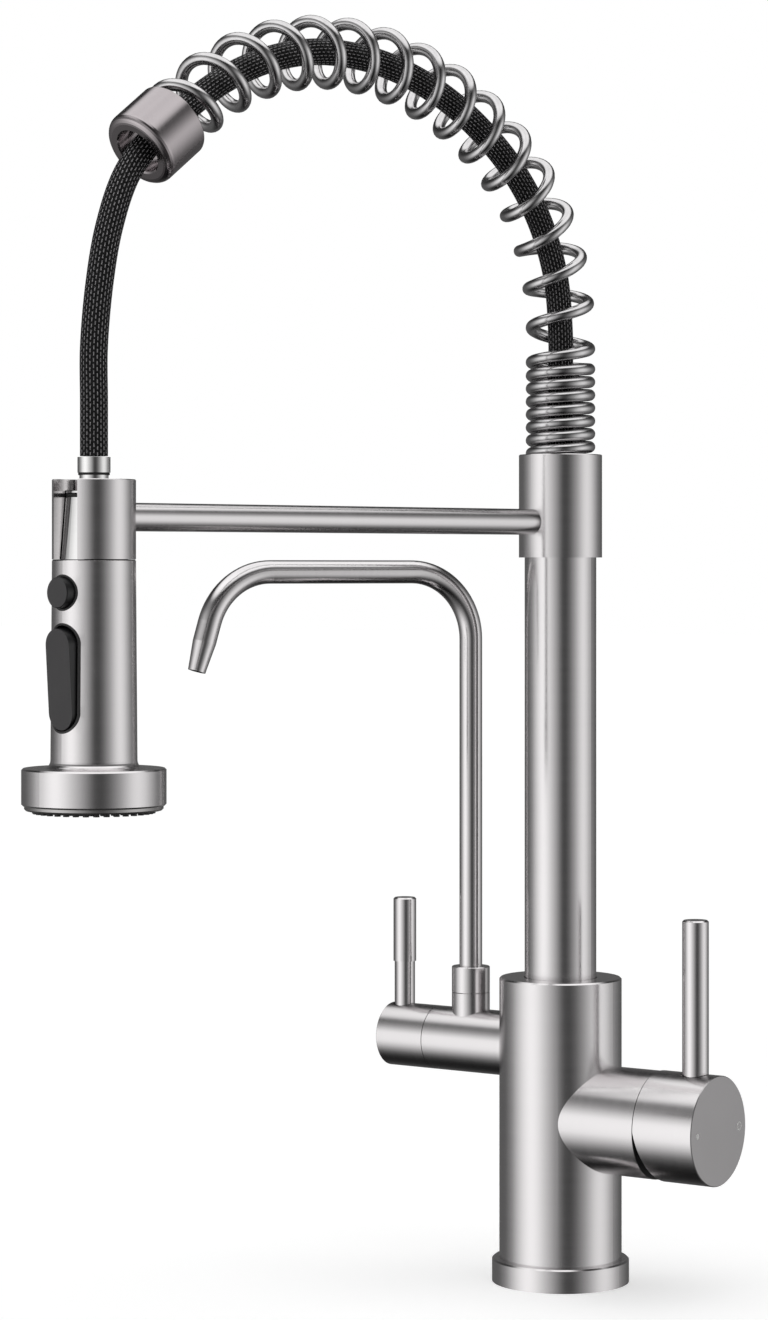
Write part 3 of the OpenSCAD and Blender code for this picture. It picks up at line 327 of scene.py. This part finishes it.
def makeMouldGrain(values):  # the fine skin of moulded plastic and rubber
    tree, given, made = newGroup("mouldGrain", [("Vector", "Vector")], ["Height", "Cloud"])
    vector = given.outputs["Vector"]
    tree.links.new(noiseAt(tree, vector, values["grain"]), made.inputs["Height"])
    tree.links.new(noiseAt(tree, vector, values["cloud"]), made.inputs["Cloud"])
    return tree


drawValues = {  # stretch: round the wire, along it
    "Streaks": {"stretch": (46, 26, 1), "detail": 3, "rough": 0.6},
    "Bands": {"stretch": (3, 340, 1), "detail": 2, "rough": 0.5},
}


def makeWireDraw(values):  # lines drawn along a wire; the map's x goes round it and its y along it in metres
    tree, given, made = newGroup("wireDraw", [("Map", "Vector")], list(values))
    for name, layer in values.items():
        noise = noiseAt(tree, scaled(tree, given.outputs["Map"], layer["stretch"]), layer)
        tree.links.new(noise, made.inputs[name])
    return tree


braidValues = {
    "rowStep": 0.5,               # how far each row of stitches is shifted from the one beside it
    "stitchWidth": (0.1, 0.19),   # where a stitch begins and ends to fade, from its middle, across its row
    "stitchLength": (0.26, 0.36),
    "fibre": {"stretch": (220, 900, 1), "detail": 2, "rough": 0.6},
}


def makeBraid(values):  # two sets of slanting strands that pass over each other, and pale stitches in rows, whose pale colour is a painted highlight standing in for the braid's glints
    tree, given, made = newGroup(
        "braidWeave", [("Map", "Vector"), ("Strands", "Float"), ("Pitch", "Float")],
        ["Height", "StitchGlint", "Fibre"])
    parts = addNode(tree, "ShaderNodeSeparateXYZ")
    tree.links.new(given.outputs["Map"], parts.inputs[0])
    around = mathNode(tree, "MULTIPLY", parts.outputs["X"], given.outputs["Strands"])
    along = mathNode(tree, "DIVIDE", parts.outputs["Y"], given.outputs["Pitch"])
    left = mathNode(tree, "ADD", around, along)
    right = mathNode(tree, "SUBTRACT", around, along)
    humps = [mathNode(tree, "SINE", mathNode(tree, "MULTIPLY", mathNode(tree, "FRACT", side), math.pi))
             for side in (left, right)]
    cells = mathNode(tree, "ADD", mathNode(tree, "FLOOR", left), mathNode(tree, "FLOOR", right))
    over = mathNode(tree, "PINGPONG", cells, 1)
    under = mathNode(tree, "SUBTRACT", 1, over)
    tree.links.new(weighted(tree, humps[0], over, humps[1], under), made.inputs["Height"])
    row = mathNode(tree, "FLOOR", around)
    shifted = mathNode(tree, "ADD", along, mathNode(tree, "MULTIPLY", row, values["rowStep"]))
    sides = []
    for place, (begin, end) in ((around, values["stitchWidth"]), (shifted, values["stitchLength"])):
        fromMiddle = mathNode(tree, "SUBTRACT", mathNode(tree, "FRACT", place), 0.5)
        sides.append(spread(tree, mathNode(tree, "ABSOLUTE", fromMiddle), begin, end, 1, 0))
    tree.links.new(mathNode(tree, "MULTIPLY", *sides), made.inputs["StitchGlint"])
    fibre = noiseAt(tree, scaled(tree, given.outputs["Map"], values["fibre"]["stretch"]), values["fibre"])
    tree.links.new(fibre, made.inputs["Fibre"])
    return tree


turnedGrain = makeTurnedGrain(grainValues)
handlingMarks = makeHandlingMarks(markValues)
mouldGrain = makeMouldGrain(mouldValues)
wireDraw = makeWireDraw(drawValues)
braidWeave = makeBraid(braidValues)


def useGroup(tree, group, vector, socketName="Vector", values=None):
    node = addNode(tree, "ShaderNodeGroup", node_tree=group)
    tree.links.new(vector, node.inputs[socketName])
    for name, value in (values or {}).items():
        node.inputs[name].default_value = value
    return node


def objectPlace(tree, turn=(0, 0, 0)):
    place = addNode(tree, "ShaderNodeTexCoord")
    if turn == (0, 0, 0):
        return place.outputs["Object"]
    mapping = addNode(tree, "ShaderNodeMapping")
    mapping.inputs["Rotation"].default_value = [math.radians(a) for a in turn]
    tree.links.new(place.outputs["Object"], mapping.inputs["Vector"])
    return mapping.outputs["Vector"]


def ownMap(tree):
    return addNode(tree, "ShaderNodeTexCoord").outputs["UV"]


def mixColour(tree, share, dark, light):
    mix = addNode(tree, "ShaderNodeMix", data_type="RGBA")
    tree.links.new(share, mix.inputs["Factor"])
    for name, colour in (("A", dark), ("B", light)):
        if isinstance(colour, (tuple, list)):
            mix.inputs[name].default_value = (*colour, 1)
        else:
            tree.links.new(colour, mix.inputs[name])
    return mix.outputs["Result"]


def colourBetween(tree, share, dark, light, shader):
    tree.links.new(mixColour(tree, share, dark, light), shader.inputs["Base Color"])


def roughBetween(tree, noise, low, high, shader):
    tree.links.new(spread(tree, noise, *usualNoise, low, high), shader.inputs["Roughness"])


def bumpFrom(tree, height, shader, depth):
    bump = addNode(tree, "ShaderNodeBump", {"Strength": 1, "Distance": depth})
    tree.links.new(height, bump.inputs["Height"])
    tree.links.new(bump.outputs["Normal"], shader.inputs["Normal"])


# Finishes

upright = (0, 0, 0)
sideways = (0, -90, 0)      # the mixer's and the small tap's axes
armwise = (-90, 13, 0)      # the arm's axis
spoutwise = (-90, 27, 0)
satin = (0.75, 0.73, 0.735)

# colour, roughness, how much the roughness moves, lines to the metre, their depth in metres and their axis
metalColumns = ("colour", "rough", "move", "lines", "depth", "axis")
metalRows = {
    "satinSteel": (satin, 0.19, 0.07, 2400, 3.5e-6, upright),
    "satinSteelSide": (satin, 0.19, 0.07, 2400, 3.5e-6, sideways),
    "satinSteelArm": (satin, 0.19, 0.07, 2400, 3.5e-6, armwise),
    "satinSteelSpout": (satin, 0.17, 0.05, 700, 2e-6, spoutwise),
    "polishedSteel": ((0.8, 0.795, 0.79), 0.07, 0.03, 1500, 8e-7, upright),
    "capSteel": ((0.45, 0.415, 0.425), 0.18, 0.08, 2000, 4e-6, armwise),
    "faceSteel": ((0.5, 0.49, 0.485), 0.3, 0.08, 1800, 4e-6, upright),
    "screwSteel": ((0.36, 0.355, 0.35), 0.32, 0.1, 3000, 5e-6, upright),
    "brass": ((0.74, 0.54, 0.24), 0.3, 0.12, 2200, 6e-6, upright),
    "copper": ((0.76, 0.42, 0.29), 0.32, 0.12, 1200, 4e-6, upright),
}
metalFinishes = {name: dict(zip(metalColumns, row)) for name, row in metalRows.items()}
steelTone = {
    "darkest": 0.93,       # share of the colour at the darkest and the palest line
    "palest": 1.07,
    "lineShare": 0.8,      # how much the lines and the patches count in the colour
    "patchShare": 0.2,
    "patchRough": 0.4,     # share of a finish's move that the patches add to its roughness
}


def finishSteel(tree, shader, streaks, marks, values):
    shader.inputs["Metallic"].default_value = 1
    patches = marks.outputs["Patches"]
    tone = weighted(tree, streaks, steelTone["lineShare"], patches, steelTone["patchShare"])
    dark = [share * steelTone["darkest"] for share in values["colour"]]
    light = [min(1, share * steelTone["palest"]) for share in values["colour"]]
    colourBetween(tree, tone, dark, light, shader)
    half = values["move"] / 2
    rough = spread(tree, streaks, *usualNoise, values["rough"] - half, values["rough"] + half)
    worn = mathNode(tree, "MULTIPLY", patches, values["move"] * steelTone["patchRough"])
    tree.links.new(mathNode(tree, "ADD", rough, worn), shader.inputs["Roughness"])
    bumpFrom(tree, streaks, shader, values["depth"])


def makeMetal(name, values):
    material, tree, shader = newMaterial(name)
    vector = objectPlace(tree, values["axis"])
    grain = useGroup(tree, turnedGrain, vector, values={"Lines": values["lines"]})
    finishSteel(tree, shader, grain.outputs["Streaks"], useGroup(tree, handlingMarks, vector), values)
    return material


bodyValues = {
    **metalFinishes["satinSteel"],
    "radius": 0.0252,    # past this distance from the column's axis the lines run round the barrel
    "change": 0.0003,
}


def makeBodySteel(values):
    material, tree, shader = newMaterial("bodySteel")
    place = objectPlace(tree)
    lines = {"Lines": values["lines"]}
    standing = useGroup(tree, turnedGrain, place, values=lines)
    lying = useGroup(tree, turnedGrain, objectPlace(tree, sideways), values=lines)
    away = lengthOf(tree, scaled(tree, place, (1, 1, 0)))
    onBarrel = spread(tree, away, values["radius"], values["radius"] + values["change"])
    streaks = addNode(tree, "ShaderNodeMix", data_type="FLOAT")
    tree.links.new(onBarrel, streaks.inputs["Factor"])
    tree.links.new(standing.outputs["Streaks"], streaks.inputs["A"])
    tree.links.new(lying.outputs["Streaks"], streaks.inputs["B"])
    finishSteel(tree, shader, streaks.outputs["Result"], useGroup(tree, handlingMarks, place), values)
    return material


# dark and light end of the colour, roughness, depth of the grain in metres
dullColumns = ("dark", "light", "rough", "depth")
dullRows = {
    "darkPlastic": ((0.022, 0.022, 0.023), (0.034, 0.033, 0.034), 0.42, 8e-6),
    "darkSilicone": ((0.02, 0.02, 0.021), (0.035, 0.035, 0.036), 0.5, 8e-6),
    "sealRubber": ((0.012, 0.012, 0.012), (0.022, 0.022, 0.022), 0.6, 1e-5),
    "paleNylon": ((0.72, 0.71, 0.67), (0.82, 0.81, 0.77), 0.42, 6e-6),
    "whiteCeramic": ((0.82, 0.82, 0.8), (0.9, 0.9, 0.88), 0.15, 1e-6),
    "paleEnamel": ((0.74, 0.74, 0.73), (0.84, 0.84, 0.83), 0.28, 3e-6),
}
dullFinishes = {name: dict(zip(dullColumns, row)) for name, row in dullRows.items()}
skinRough = (-0.05, 0.06)    # how far a moulded skin's roughness moves down and up


def finishSkin(tree, skin, shader, values):
    low, high = (values["rough"] + move for move in skinRough)
    roughBetween(tree, skin.outputs["Height"], low, high, shader)
    bumpFrom(tree, skin.outputs["Height"], shader, values["depth"])


def makeDull(name, values):
    material, tree, shader = newMaterial(name)
    skin = useGroup(tree, mouldGrain, objectPlace(tree))
    colourBetween(tree, skin.outputs["Cloud"], values["dark"], values["light"], shader)
    finishSkin(tree, skin, shader, values)
    return material


frontAngle = math.radians(-98)
headFront = Vector((math.cos(frontAngle), math.sin(frontAngle), 0))  # the way the spray head's buttons face
charcoalValues = {
    "face": (0.068, 0.065, 0.068),
    # side: painted shade, the near black given to the faces that turn away from the front
    "side": (0.012, 0.012, 0.013),
    "turn": (0.72, 0.9),     # how far towards the front the side colour ends and the face colour begins
    "cloud": (0.88, 1),
    "rough": 0.34,
    "depth": 6e-6,
}


def makeCharcoalPaintedShade(values):  # the soft-touch caps: charcoal on the face, and near black round the sides, which is painted shade on the faces that turn away from the front
    material, tree, shader = newMaterial("charcoalPlastic")
    place = addNode(tree, "ShaderNodeTexCoord")
    skin = useGroup(tree, mouldGrain, place.outputs["Object"])
    towards = addNode(tree, "ShaderNodeVectorMath", operation="DOT_PRODUCT")
    tree.links.new(place.outputs["Normal"], towards.inputs[0])
    towards.inputs[1].default_value = headFront
    face = spread(tree, towards.outputs["Value"], *values["turn"])
    cloud = spread(tree, skin.outputs["Cloud"], *usualNoise, *values["cloud"])
    colourBetween(tree, mathNode(tree, "MULTIPLY", face, cloud), values["side"], values["face"], shader)
    finishSkin(tree, skin, shader, values)
    return material


finishes = {name: makeMetal(name, values) for name, values in metalFinishes.items()}
finishes.update({name: makeDull(name, values) for name, values in dullFinishes.items()})
finishes["charcoalPlastic"] = makeCharcoalPaintedShade(charcoalValues)
finishes["bodySteel"] = makeBodySteel(bodyValues)

nodeFinishes = {
    "bodySteel": ["main_body"],
    "satinSteel": ["base_ring", "column_tube", "collar", "dock", "head_shell", "spout_collar"],
    "satinSteelSide": ["tap_housing", "tap_hub", "mixer_hub", "mixer_stem", "tap_stem", "stem_pin"],
    "satinSteelArm": ["arm_rod"],
    "satinSteelSpout": ["filter_spout", "mixer_lever", "tap_lever", "tap_grip"],
    "polishedSteel": ["head_neck", "hose_ferrule", "hose_swivel", "rocker_pin", "button_spring"],
    "capSteel": ["end_cap"],
    "faceSteel": ["spray_plate"],
    "screwSteel": ["retaining_screw", "collar_set_screw", "dock_screw", "hub_grub_screw",
                   "tap_grub_screw", "swivel_clip", "spring"],
    "brass": ["inlet_block", "mixer_manifold", "cartridge_nut", "tap_valve"],
    "copper": ["hot_pipe", "cold_pipe", "outlet_pipe", "tap_pipe"],
    "charcoalPlastic": ["pause_button", "rocker"],
    "darkPlastic": ["stem_carrier", "aerator"],
    "darkSilicone": ["nozzle_mat"],
    "sealRubber": ["deck_gasket", "spout_o_rings", "swivel_o_ring", "neck_ring", "hose"],
    "paleNylon": ["mixer_cartridge", "column_bush", "hose_guide", "check_valve", "diverter"],
    "whiteCeramic": ["fixed_disc", "moving_disc", "tap_disc"],
    "paleEnamel": ["mixer_marks"],
}
for finishName, names in nodeFinishes.items():
    for nodeName in names:
        for slot in nodes[nodeName].material_slots:
            slot.material = finishes[finishName]
print("finishes made:", len(finishes))


# Tubes that follow a line of points: the spring's wire and the hose. Their map runs round them, and along
# them in metres

tubeSmooth = math.radians(50)
rowSides = 3    # every third side of a ribbed tube lies in a valley between two rows


def tubeAlong(name, line, radius, sides, sideAt, valley=0.0):
    points, faces, rounds, reach = [], [], [], 0
    for i, middle in enumerate(line):
        ahead = (line[min(i + 1, len(line) - 1)] - line[max(i - 1, 0)]).normalized()
        across = ahead.cross(sideAt[i]).normalized()
        outward = across.cross(ahead)
        if i:
            reach += (middle - line[i - 1]).length
        rounds.append(reach)
        for k in range(sides):
            a = 2 * math.pi * k / sides
            reachOut = radius - (valley if k % rowSides == 0 else 0)
            points.append(middle + reachOut * (math.cos(a) * outward + math.sin(a) * across))
    for i in range(len(line) - 1):
        for k in range(sides):
            a, b = i * sides + k, i * sides + (k + 1) % sides
            faces.append((a, b, b + sides, a + sides))
    last = (len(line) - 1) * sides
    faces.append(tuple(range(sides - 1, -1, -1)))
    faces.append(tuple(range(last, last + sides)))
    mesh = bpy.data.meshes.new(name)
    mesh.from_pydata(points, [], faces)
    layer = mesh.uv_layers.new(name="UVMap")
    for face in mesh.polygons:
        i, k = divmod(face.index, sides)
        if i >= len(line) - 1:
            continue
        corners = ((k, i), (k + 1, i), (k + 1, i + 1), (k, i + 1))
        for loop, (u, v) in zip(face.loop_indices, corners):
            layer.data[loop].uv = (u / sides, rounds[v])
    mesh.validate()
    piece = bpy.data.objects.new(name, mesh)
    bpy.context.collection.objects.link(piece)
    bpy.ops.object.select_all(action="DESELECT")
    piece.select_set(True)
    bpy.context.view_layer.objects.active = piece
    bpy.ops.object.shade_smooth_by_angle(angle=tubeSmooth)
    piece.select_set(False)
    return piece


armAngle = math.radians(13)
armWay = Vector((-math.sin(armAngle), -math.cos(armAngle), 0))
armReach = 0.239    # from the column's axis to the spray head's


def inArmPlane(out, height):
    return armWay * out + Vector((0, 0, height))


# Hose

hoseValues = {
    "diameter": 0.0102,
    "step": 0.002,           # distance between the rings of its mesh
    "valley": 0.00014,       # depth between two rows of the braid
    "strands": 24,
    "pitch": 0.0022,
    "weaveDepth": 0.00022,
    "dropPoint": 25,         # the route's point inside the end cap where the drop begins
    "dropFrom": (0.226, 0.441),
    "dropTo": (0.226, 0.3335),
    "specular": 0.22,
    "dark": (0.003, 0.003, 0.0035),
    "light": (0.011, 0.0105, 0.0115),
    # the stitches' pale colour is a painted highlight, the braid's glints painted as colour
    "stitchGlint": (0.46, 0.45, 0.46),
    "rough": (0.38, 0.55),
    "weaveShare": 0.6,       # how much the weave and the fibres count in the colour
    "fibreShare": 0.4,
    "stitchHeight": 0.4,     # heights of stitches and fibres as shares of the weave's
    "fibreHeight": 0.2,
}
# the hose's route: distance out along the arm and height, in metres
hoseRoute = [
    (0, 0.014), (0, 0.044), (0, 0.074), (0, 0.104), (0, 0.134), (0, 0.164), (0, 0.194), (0, 0.224),
    (0, 0.254), (0, 0.284), (0, 0.314), (0, 0.340), (0, 0.365), (0, 0.388), (0.003, 0.411),
    (0.012, 0.4325), (0.026, 0.451), (0.044, 0.466), (0.064, 0.4775), (0.086, 0.4855), (0.108, 0.4895),
    (0.132, 0.4895), (0.155, 0.4845), (0.176, 0.4755), (0.194, 0.464), (0.211, 0.4505), (0.224, 0.4355),
    (0.232, 0.416), (0.2365, 0.395), (0.239, 0.372), (0.239, 0.352), (0.239, 0.332),
]
fineSteps = 40    # steps between two points of a route when it is smoothed


def smoothLine(points, step):  # a curve through all points, cut into even steps
    fine = []
    count = len(points)
    for i in range(count - 1):
        p0, p1 = points[max(i - 1, 0)], points[i]
        p2, p3 = points[i + 1], points[min(i + 2, count - 1)]
        for k in range(fineSteps):
            t = k / fineSteps
            fine.append(0.5 * (2 * p1 + (p2 - p0) * t + (2 * p0 - 5 * p1 + 4 * p2 - p3) * t * t
                               + (3 * p1 - p0 - 3 * p2 + p3) * t * t * t))
    fine.append(points[-1])
    lengths = [0]
    for a, b in zip(fine, fine[1:]):
        lengths.append(lengths[-1] + (b - a).length)
    total, even, j = lengths[-1], [], 0
    rings = round(total / step)
    for i in range(rings + 1):
        want = total * i / rings
        while j < len(lengths) - 2 and lengths[j + 1] < want:
            j += 1
        share = (want - lengths[j]) / (lengths[j + 1] - lengths[j])
        even.append(fine[j].lerp(fine[j + 1], min(max(share, 0), 1)))
    return even


def makeBlackBraid(values):
    material, tree, shader = newMaterial("blackBraid")
    shader.inputs["Specular IOR Level"].default_value = values["specular"]
    sizes = {"Strands": values["strands"], "Pitch": values["pitch"]}
    weave = useGroup(tree, braidWeave, ownMap(tree), "Map", sizes)
    height, stitchGlint, fibre = (weave.outputs[name] for name in ("Height", "StitchGlint", "Fibre"))
    shade = weighted(tree, height, values["weaveShare"], fibre, values["fibreShare"])
    thread = mixColour(tree, shade, values["dark"], values["light"])
    colourBetween(tree, stitchGlint, thread, values["stitchGlint"], shader)
    roughBetween(tree, fibre, *values["rough"], shader)
    raised = weighted(tree, stitchGlint, values["stitchHeight"], fibre, values["fibreHeight"])
    bumpFrom(tree, mathNode(tree, "ADD", height, raised), shader, values["weaveDepth"])
    return material


def makeHose(values):
    routePoints = [inArmPlane(*p) for p in hoseRoute]
    whole = smoothLine(routePoints, values["step"])
    drop = routePoints[values["dropPoint"]]
    cut = min(range(len(whole)), key=lambda i: (whole[i] - drop).length)
    braid = makeBlackBraid(values)
    side = [armWay.cross(Vector((0, 0, 1)))] * len(whole)
    runs = {"sprayHose": whole[:cut + 1], "sprayHoseDrop": whole[cut:]}
    made = {}
    for name, line in runs.items():
        made[name] = tubeAlong(name, line, values["diameter"] / 2, rowSides * values["strands"], side,
                               values["valley"])
        made[name].data.materials.append(braid)
    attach(made["sprayHose"], "arm")
    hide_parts("hose")
    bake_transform(made["sprayHoseDrop"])


makeHose(hoseValues)
print("hose made")


# Spring of the arch: closed turns on the column, open turns round the arch

springValues = {
    "outer": 0.0285,
    "wire": 0.0048,
    "closedPitch": 0.0053,
    "closedTurns": 9.9,
    "openPitch": 0.01765,
    "turns": 26.5,
    "phase": -42,
    "seat": 0.3175,
    "clearance": 0.0003,
    "ringsATurn": 44,
    "sides": 20,
    "dark": (0.57, 0.56, 0.565),
    "light": (0.72, 0.71, 0.715),
    "rough": (0.14, 0.22),
    "depth": 3e-6,
}
# the arch's line: how far the upright stretch goes, then the radius and angle of each arc
archRise = 0.0705
archArcs = [(0.089, 45), (0.133, 45), (0.118, 38.5)]


def archAt(s, seat):  # distance out, height and lean of the arch's line after the length s
    out, height, turn = 0.0, seat + min(s, archRise), 0.0
    s -= archRise
    for radius, angle in archArcs:
        if s <= 0:
            return out, height, turn
        step = min(s, radius * math.radians(angle))
        after = turn + step / radius
        out += radius * (math.cos(turn) - math.cos(after))
        height += radius * (math.sin(after) - math.sin(turn))
        turn, s = after, s - step
    s = max(s, 0)
    return out + s * math.sin(turn), height + s * math.cos(turn), turn


def alongArch(turns, values):  # the pitch opens smoothly over one turn, where the closed turns end
    t = turns - values["closedTurns"]
    step = values["openPitch"] - values["closedPitch"]
    opened = 0 if t <= 0 else step * t ** 4 / 4 if t < 1 else step / 4 + step * (t - 1)
    return values["wire"] / 2 + values["clearance"] + values["closedPitch"] * turns + opened


def makeSpringWire(values):
    material, tree, shader = newMaterial("springWire")
    drawn = useGroup(tree, wireDraw, ownMap(tree), "Map")
    shader.inputs["Metallic"].default_value = 1
    colourBetween(tree, drawn.outputs["Bands"], values["dark"], values["light"], shader)
    roughBetween(tree, drawn.outputs["Streaks"], *values["rough"], shader)
    bumpFrom(tree, drawn.outputs["Streaks"], shader, values["depth"])
    return material


def makeSpring(values):
    line, outward = [], []
    count = round(values["turns"] * values["ringsATurn"])
    radius = (values["outer"] - values["wire"]) / 2
    sideWay = Vector((0, 0, 1)).cross(armWay)
    for i in range(count + 1):
        turns = i / values["ringsATurn"]
        out, height, lean = archAt(alongArch(turns, values), values["seat"])
        phi = math.radians(values["phase"] + 360 * (turns - values["closedTurns"]))
        inPlane = radius * math.cos(phi)
        middle = inArmPlane(out, height)
        point = inArmPlane(out - inPlane * math.cos(lean), height + inPlane * math.sin(lean))
        point -= sideWay * radius * math.sin(phi)
        line.append(point)
        outward.append((point - middle).normalized())
    wire = tubeAlong("archSpring", line, values["wire"] / 2, values["sides"], outward)
    wire.data.materials.append(makeSpringWire(values))
    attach(wire, "arm")
    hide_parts("spring")
    return wire


archSpring = makeSpring(springValues)
print("spring made:", len(archSpring.data.polygons), "faces")


# Thin black rings: painted shade in the mixer's and the small tap's seams, a dark ring in the spray head's
# seam, a black band on the hose's ferrule, and the frames round the spray head's buttons

ringValues = {
    "vertices": 96,
    "tolerance": 1e-6,
    "bevelSegments": 2,
    "smooth": math.radians(40),
    "edge": 0.0001,
    "edgeShare": 0.25,    # an edge's bevel is at most this share of the ring's thickness
}


def startRing(name, outer, inner, outerStretch=0.0, innerStretch=0.0):
    bpy.ops.object.select_all(action="DESELECT")
    bpy.ops.mesh.primitive_circle_add(vertices=ringValues["vertices"], radius=outer, fill_type="NOTHING")
    ring = bpy.context.object
    ring.name = name
    bpy.ops.object.mode_set(mode="EDIT")
    bpy.ops.mesh.select_all(action="SELECT")
    bpy.ops.mesh.extrude_edges_move()
    share = inner / outer
    bpy.ops.transform.resize(value=(share, share, share))
    bpy.ops.object.mode_set(mode="OBJECT")
    middle = (outer + inner) / 2
    for spot in ring.data.vertices:
        stretch = outerStretch if spot.co.length > middle else innerStretch
        spot.co.y += stretch / 2 if spot.co.y > -ringValues["tolerance"] else -stretch / 2
    return ring


def placeRing(ring, spot, outward):
    ring.matrix_world = Matrix.Translation(spot) @ outward.to_track_quat("Z", "Y").to_matrix().to_4x4()
    bpy.ops.object.transform_apply(location=True, rotation=True, scale=True)


def tidyFaces(merge=False):
    bpy.ops.object.mode_set(mode="EDIT")
    bpy.ops.mesh.select_all(action="SELECT")
    if merge:
        bpy.ops.mesh.remove_doubles(threshold=ringValues["tolerance"])
    bpy.ops.mesh.normals_make_consistent(inside=False)
    bpy.ops.object.mode_set(mode="OBJECT")


def finishRing(ring, thick, edge, finish, body):
    bpy.context.view_layer.objects.active = ring
    ring.select_set(True)
    tidyFaces(merge=True)
    wall = ring.modifiers.new("wall", "SOLIDIFY")
    wall.thickness = thick
    wall.offset = 1
    bpy.ops.object.modifier_apply(modifier="wall")
    bevel = ring.modifiers.new("edge", "BEVEL")
    bevel.width = edge
    bevel.segments = ringValues["bevelSegments"]
    bevel.limit_method = "ANGLE"
    bpy.ops.object.modifier_apply(modifier="edge")
    tidyFaces()
    bpy.ops.object.shade_smooth_by_angle(angle=ringValues["smooth"])
    ring.data.materials.append(finishes[finish])
    ring.select_set(False)
    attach(ring, body)


headAxis = armWay * armReach
seamRings = {  # outer and inner radius, thickness, place, the way it faces, body
    # the mixer's and the small tap's rings are dark sheets that paint the shade in their seams
    "mixerSeamShadeRing": (0.0216, 0.0145, 0.00015, (0.0468, 0, 0.0676), (1, 0, 0), "base"),
    "tapSeamShadeRing": (0.01318, 0.0046, 0.00026, (-0.06, 0, 0.0948), (-1, 0, 0), "base"),
    "headSeamRing": (0.01505, 0.0126, 0.0002, (headAxis.x, headAxis.y, 0.2942), (0, 0, 1), "head"),
    "ferruleBand": (0.00575, 0.00534, 0.0009, (headAxis.x, headAxis.y, 0.32505), (0, 0, 1), "hose_end"),
}
for name, (outer, inner, thick, spot, way, body) in seamRings.items():
    ring = startRing(name, outer, inner)
    placeRing(ring, Vector(spot), Vector(way))
    edge = min(thick * ringValues["edgeShare"], ringValues["edge"])
    finishRing(ring, thick, edge, "sealRubber", body)

gripValues = {
    "top": 0.2942,
    "foot": 0.2186,
    "topRadius": 0.01525,
    "footRadius": 0.0158,
    "frameDepth": 0.0002,
    "frameEdge": 0.00006,
    "sunk": 0.00005,
}
buttonFrames = {  # height, outer and inner radius, and how much each is drawn out upright
    "buttonFrame": (0.2824, 0.0066, 0.0058, 0.0, 0.0),
    "rockerFrame": (0.2515, 0.0077, 0.00665, 0.0245, 0.025),
}


def wrapOnGrip(ring, values):
    across = Vector((-headFront.y, headFront.x, 0))
    for spot in ring.data.vertices:
        aside = (spot.co - headAxis).dot(across)
        level = spot.co.z
        down = (values["top"] - level) / (values["top"] - values["foot"])
        radius = values["topRadius"] + (values["footRadius"] - values["topRadius"]) * down - values["sunk"]
        spot.co = headAxis + across * aside + headFront * math.sqrt(radius ** 2 - aside ** 2)
        spot.co.z = level


for name, (height, outer, inner, outerStretch, innerStretch) in buttonFrames.items():
    ring = startRing(name, outer, inner, outerStretch, innerStretch)
    placeRing(ring, headAxis + headFront * gripValues["topRadius"] + Vector((0, 0, height)), headFront)
    wrapOnGrip(ring, gripValues)
    finishRing(ring, gripValues["frameDepth"] + gripValues["sunk"], gripValues["frameEdge"], "darkPlastic",
               "head")
print("rings made")
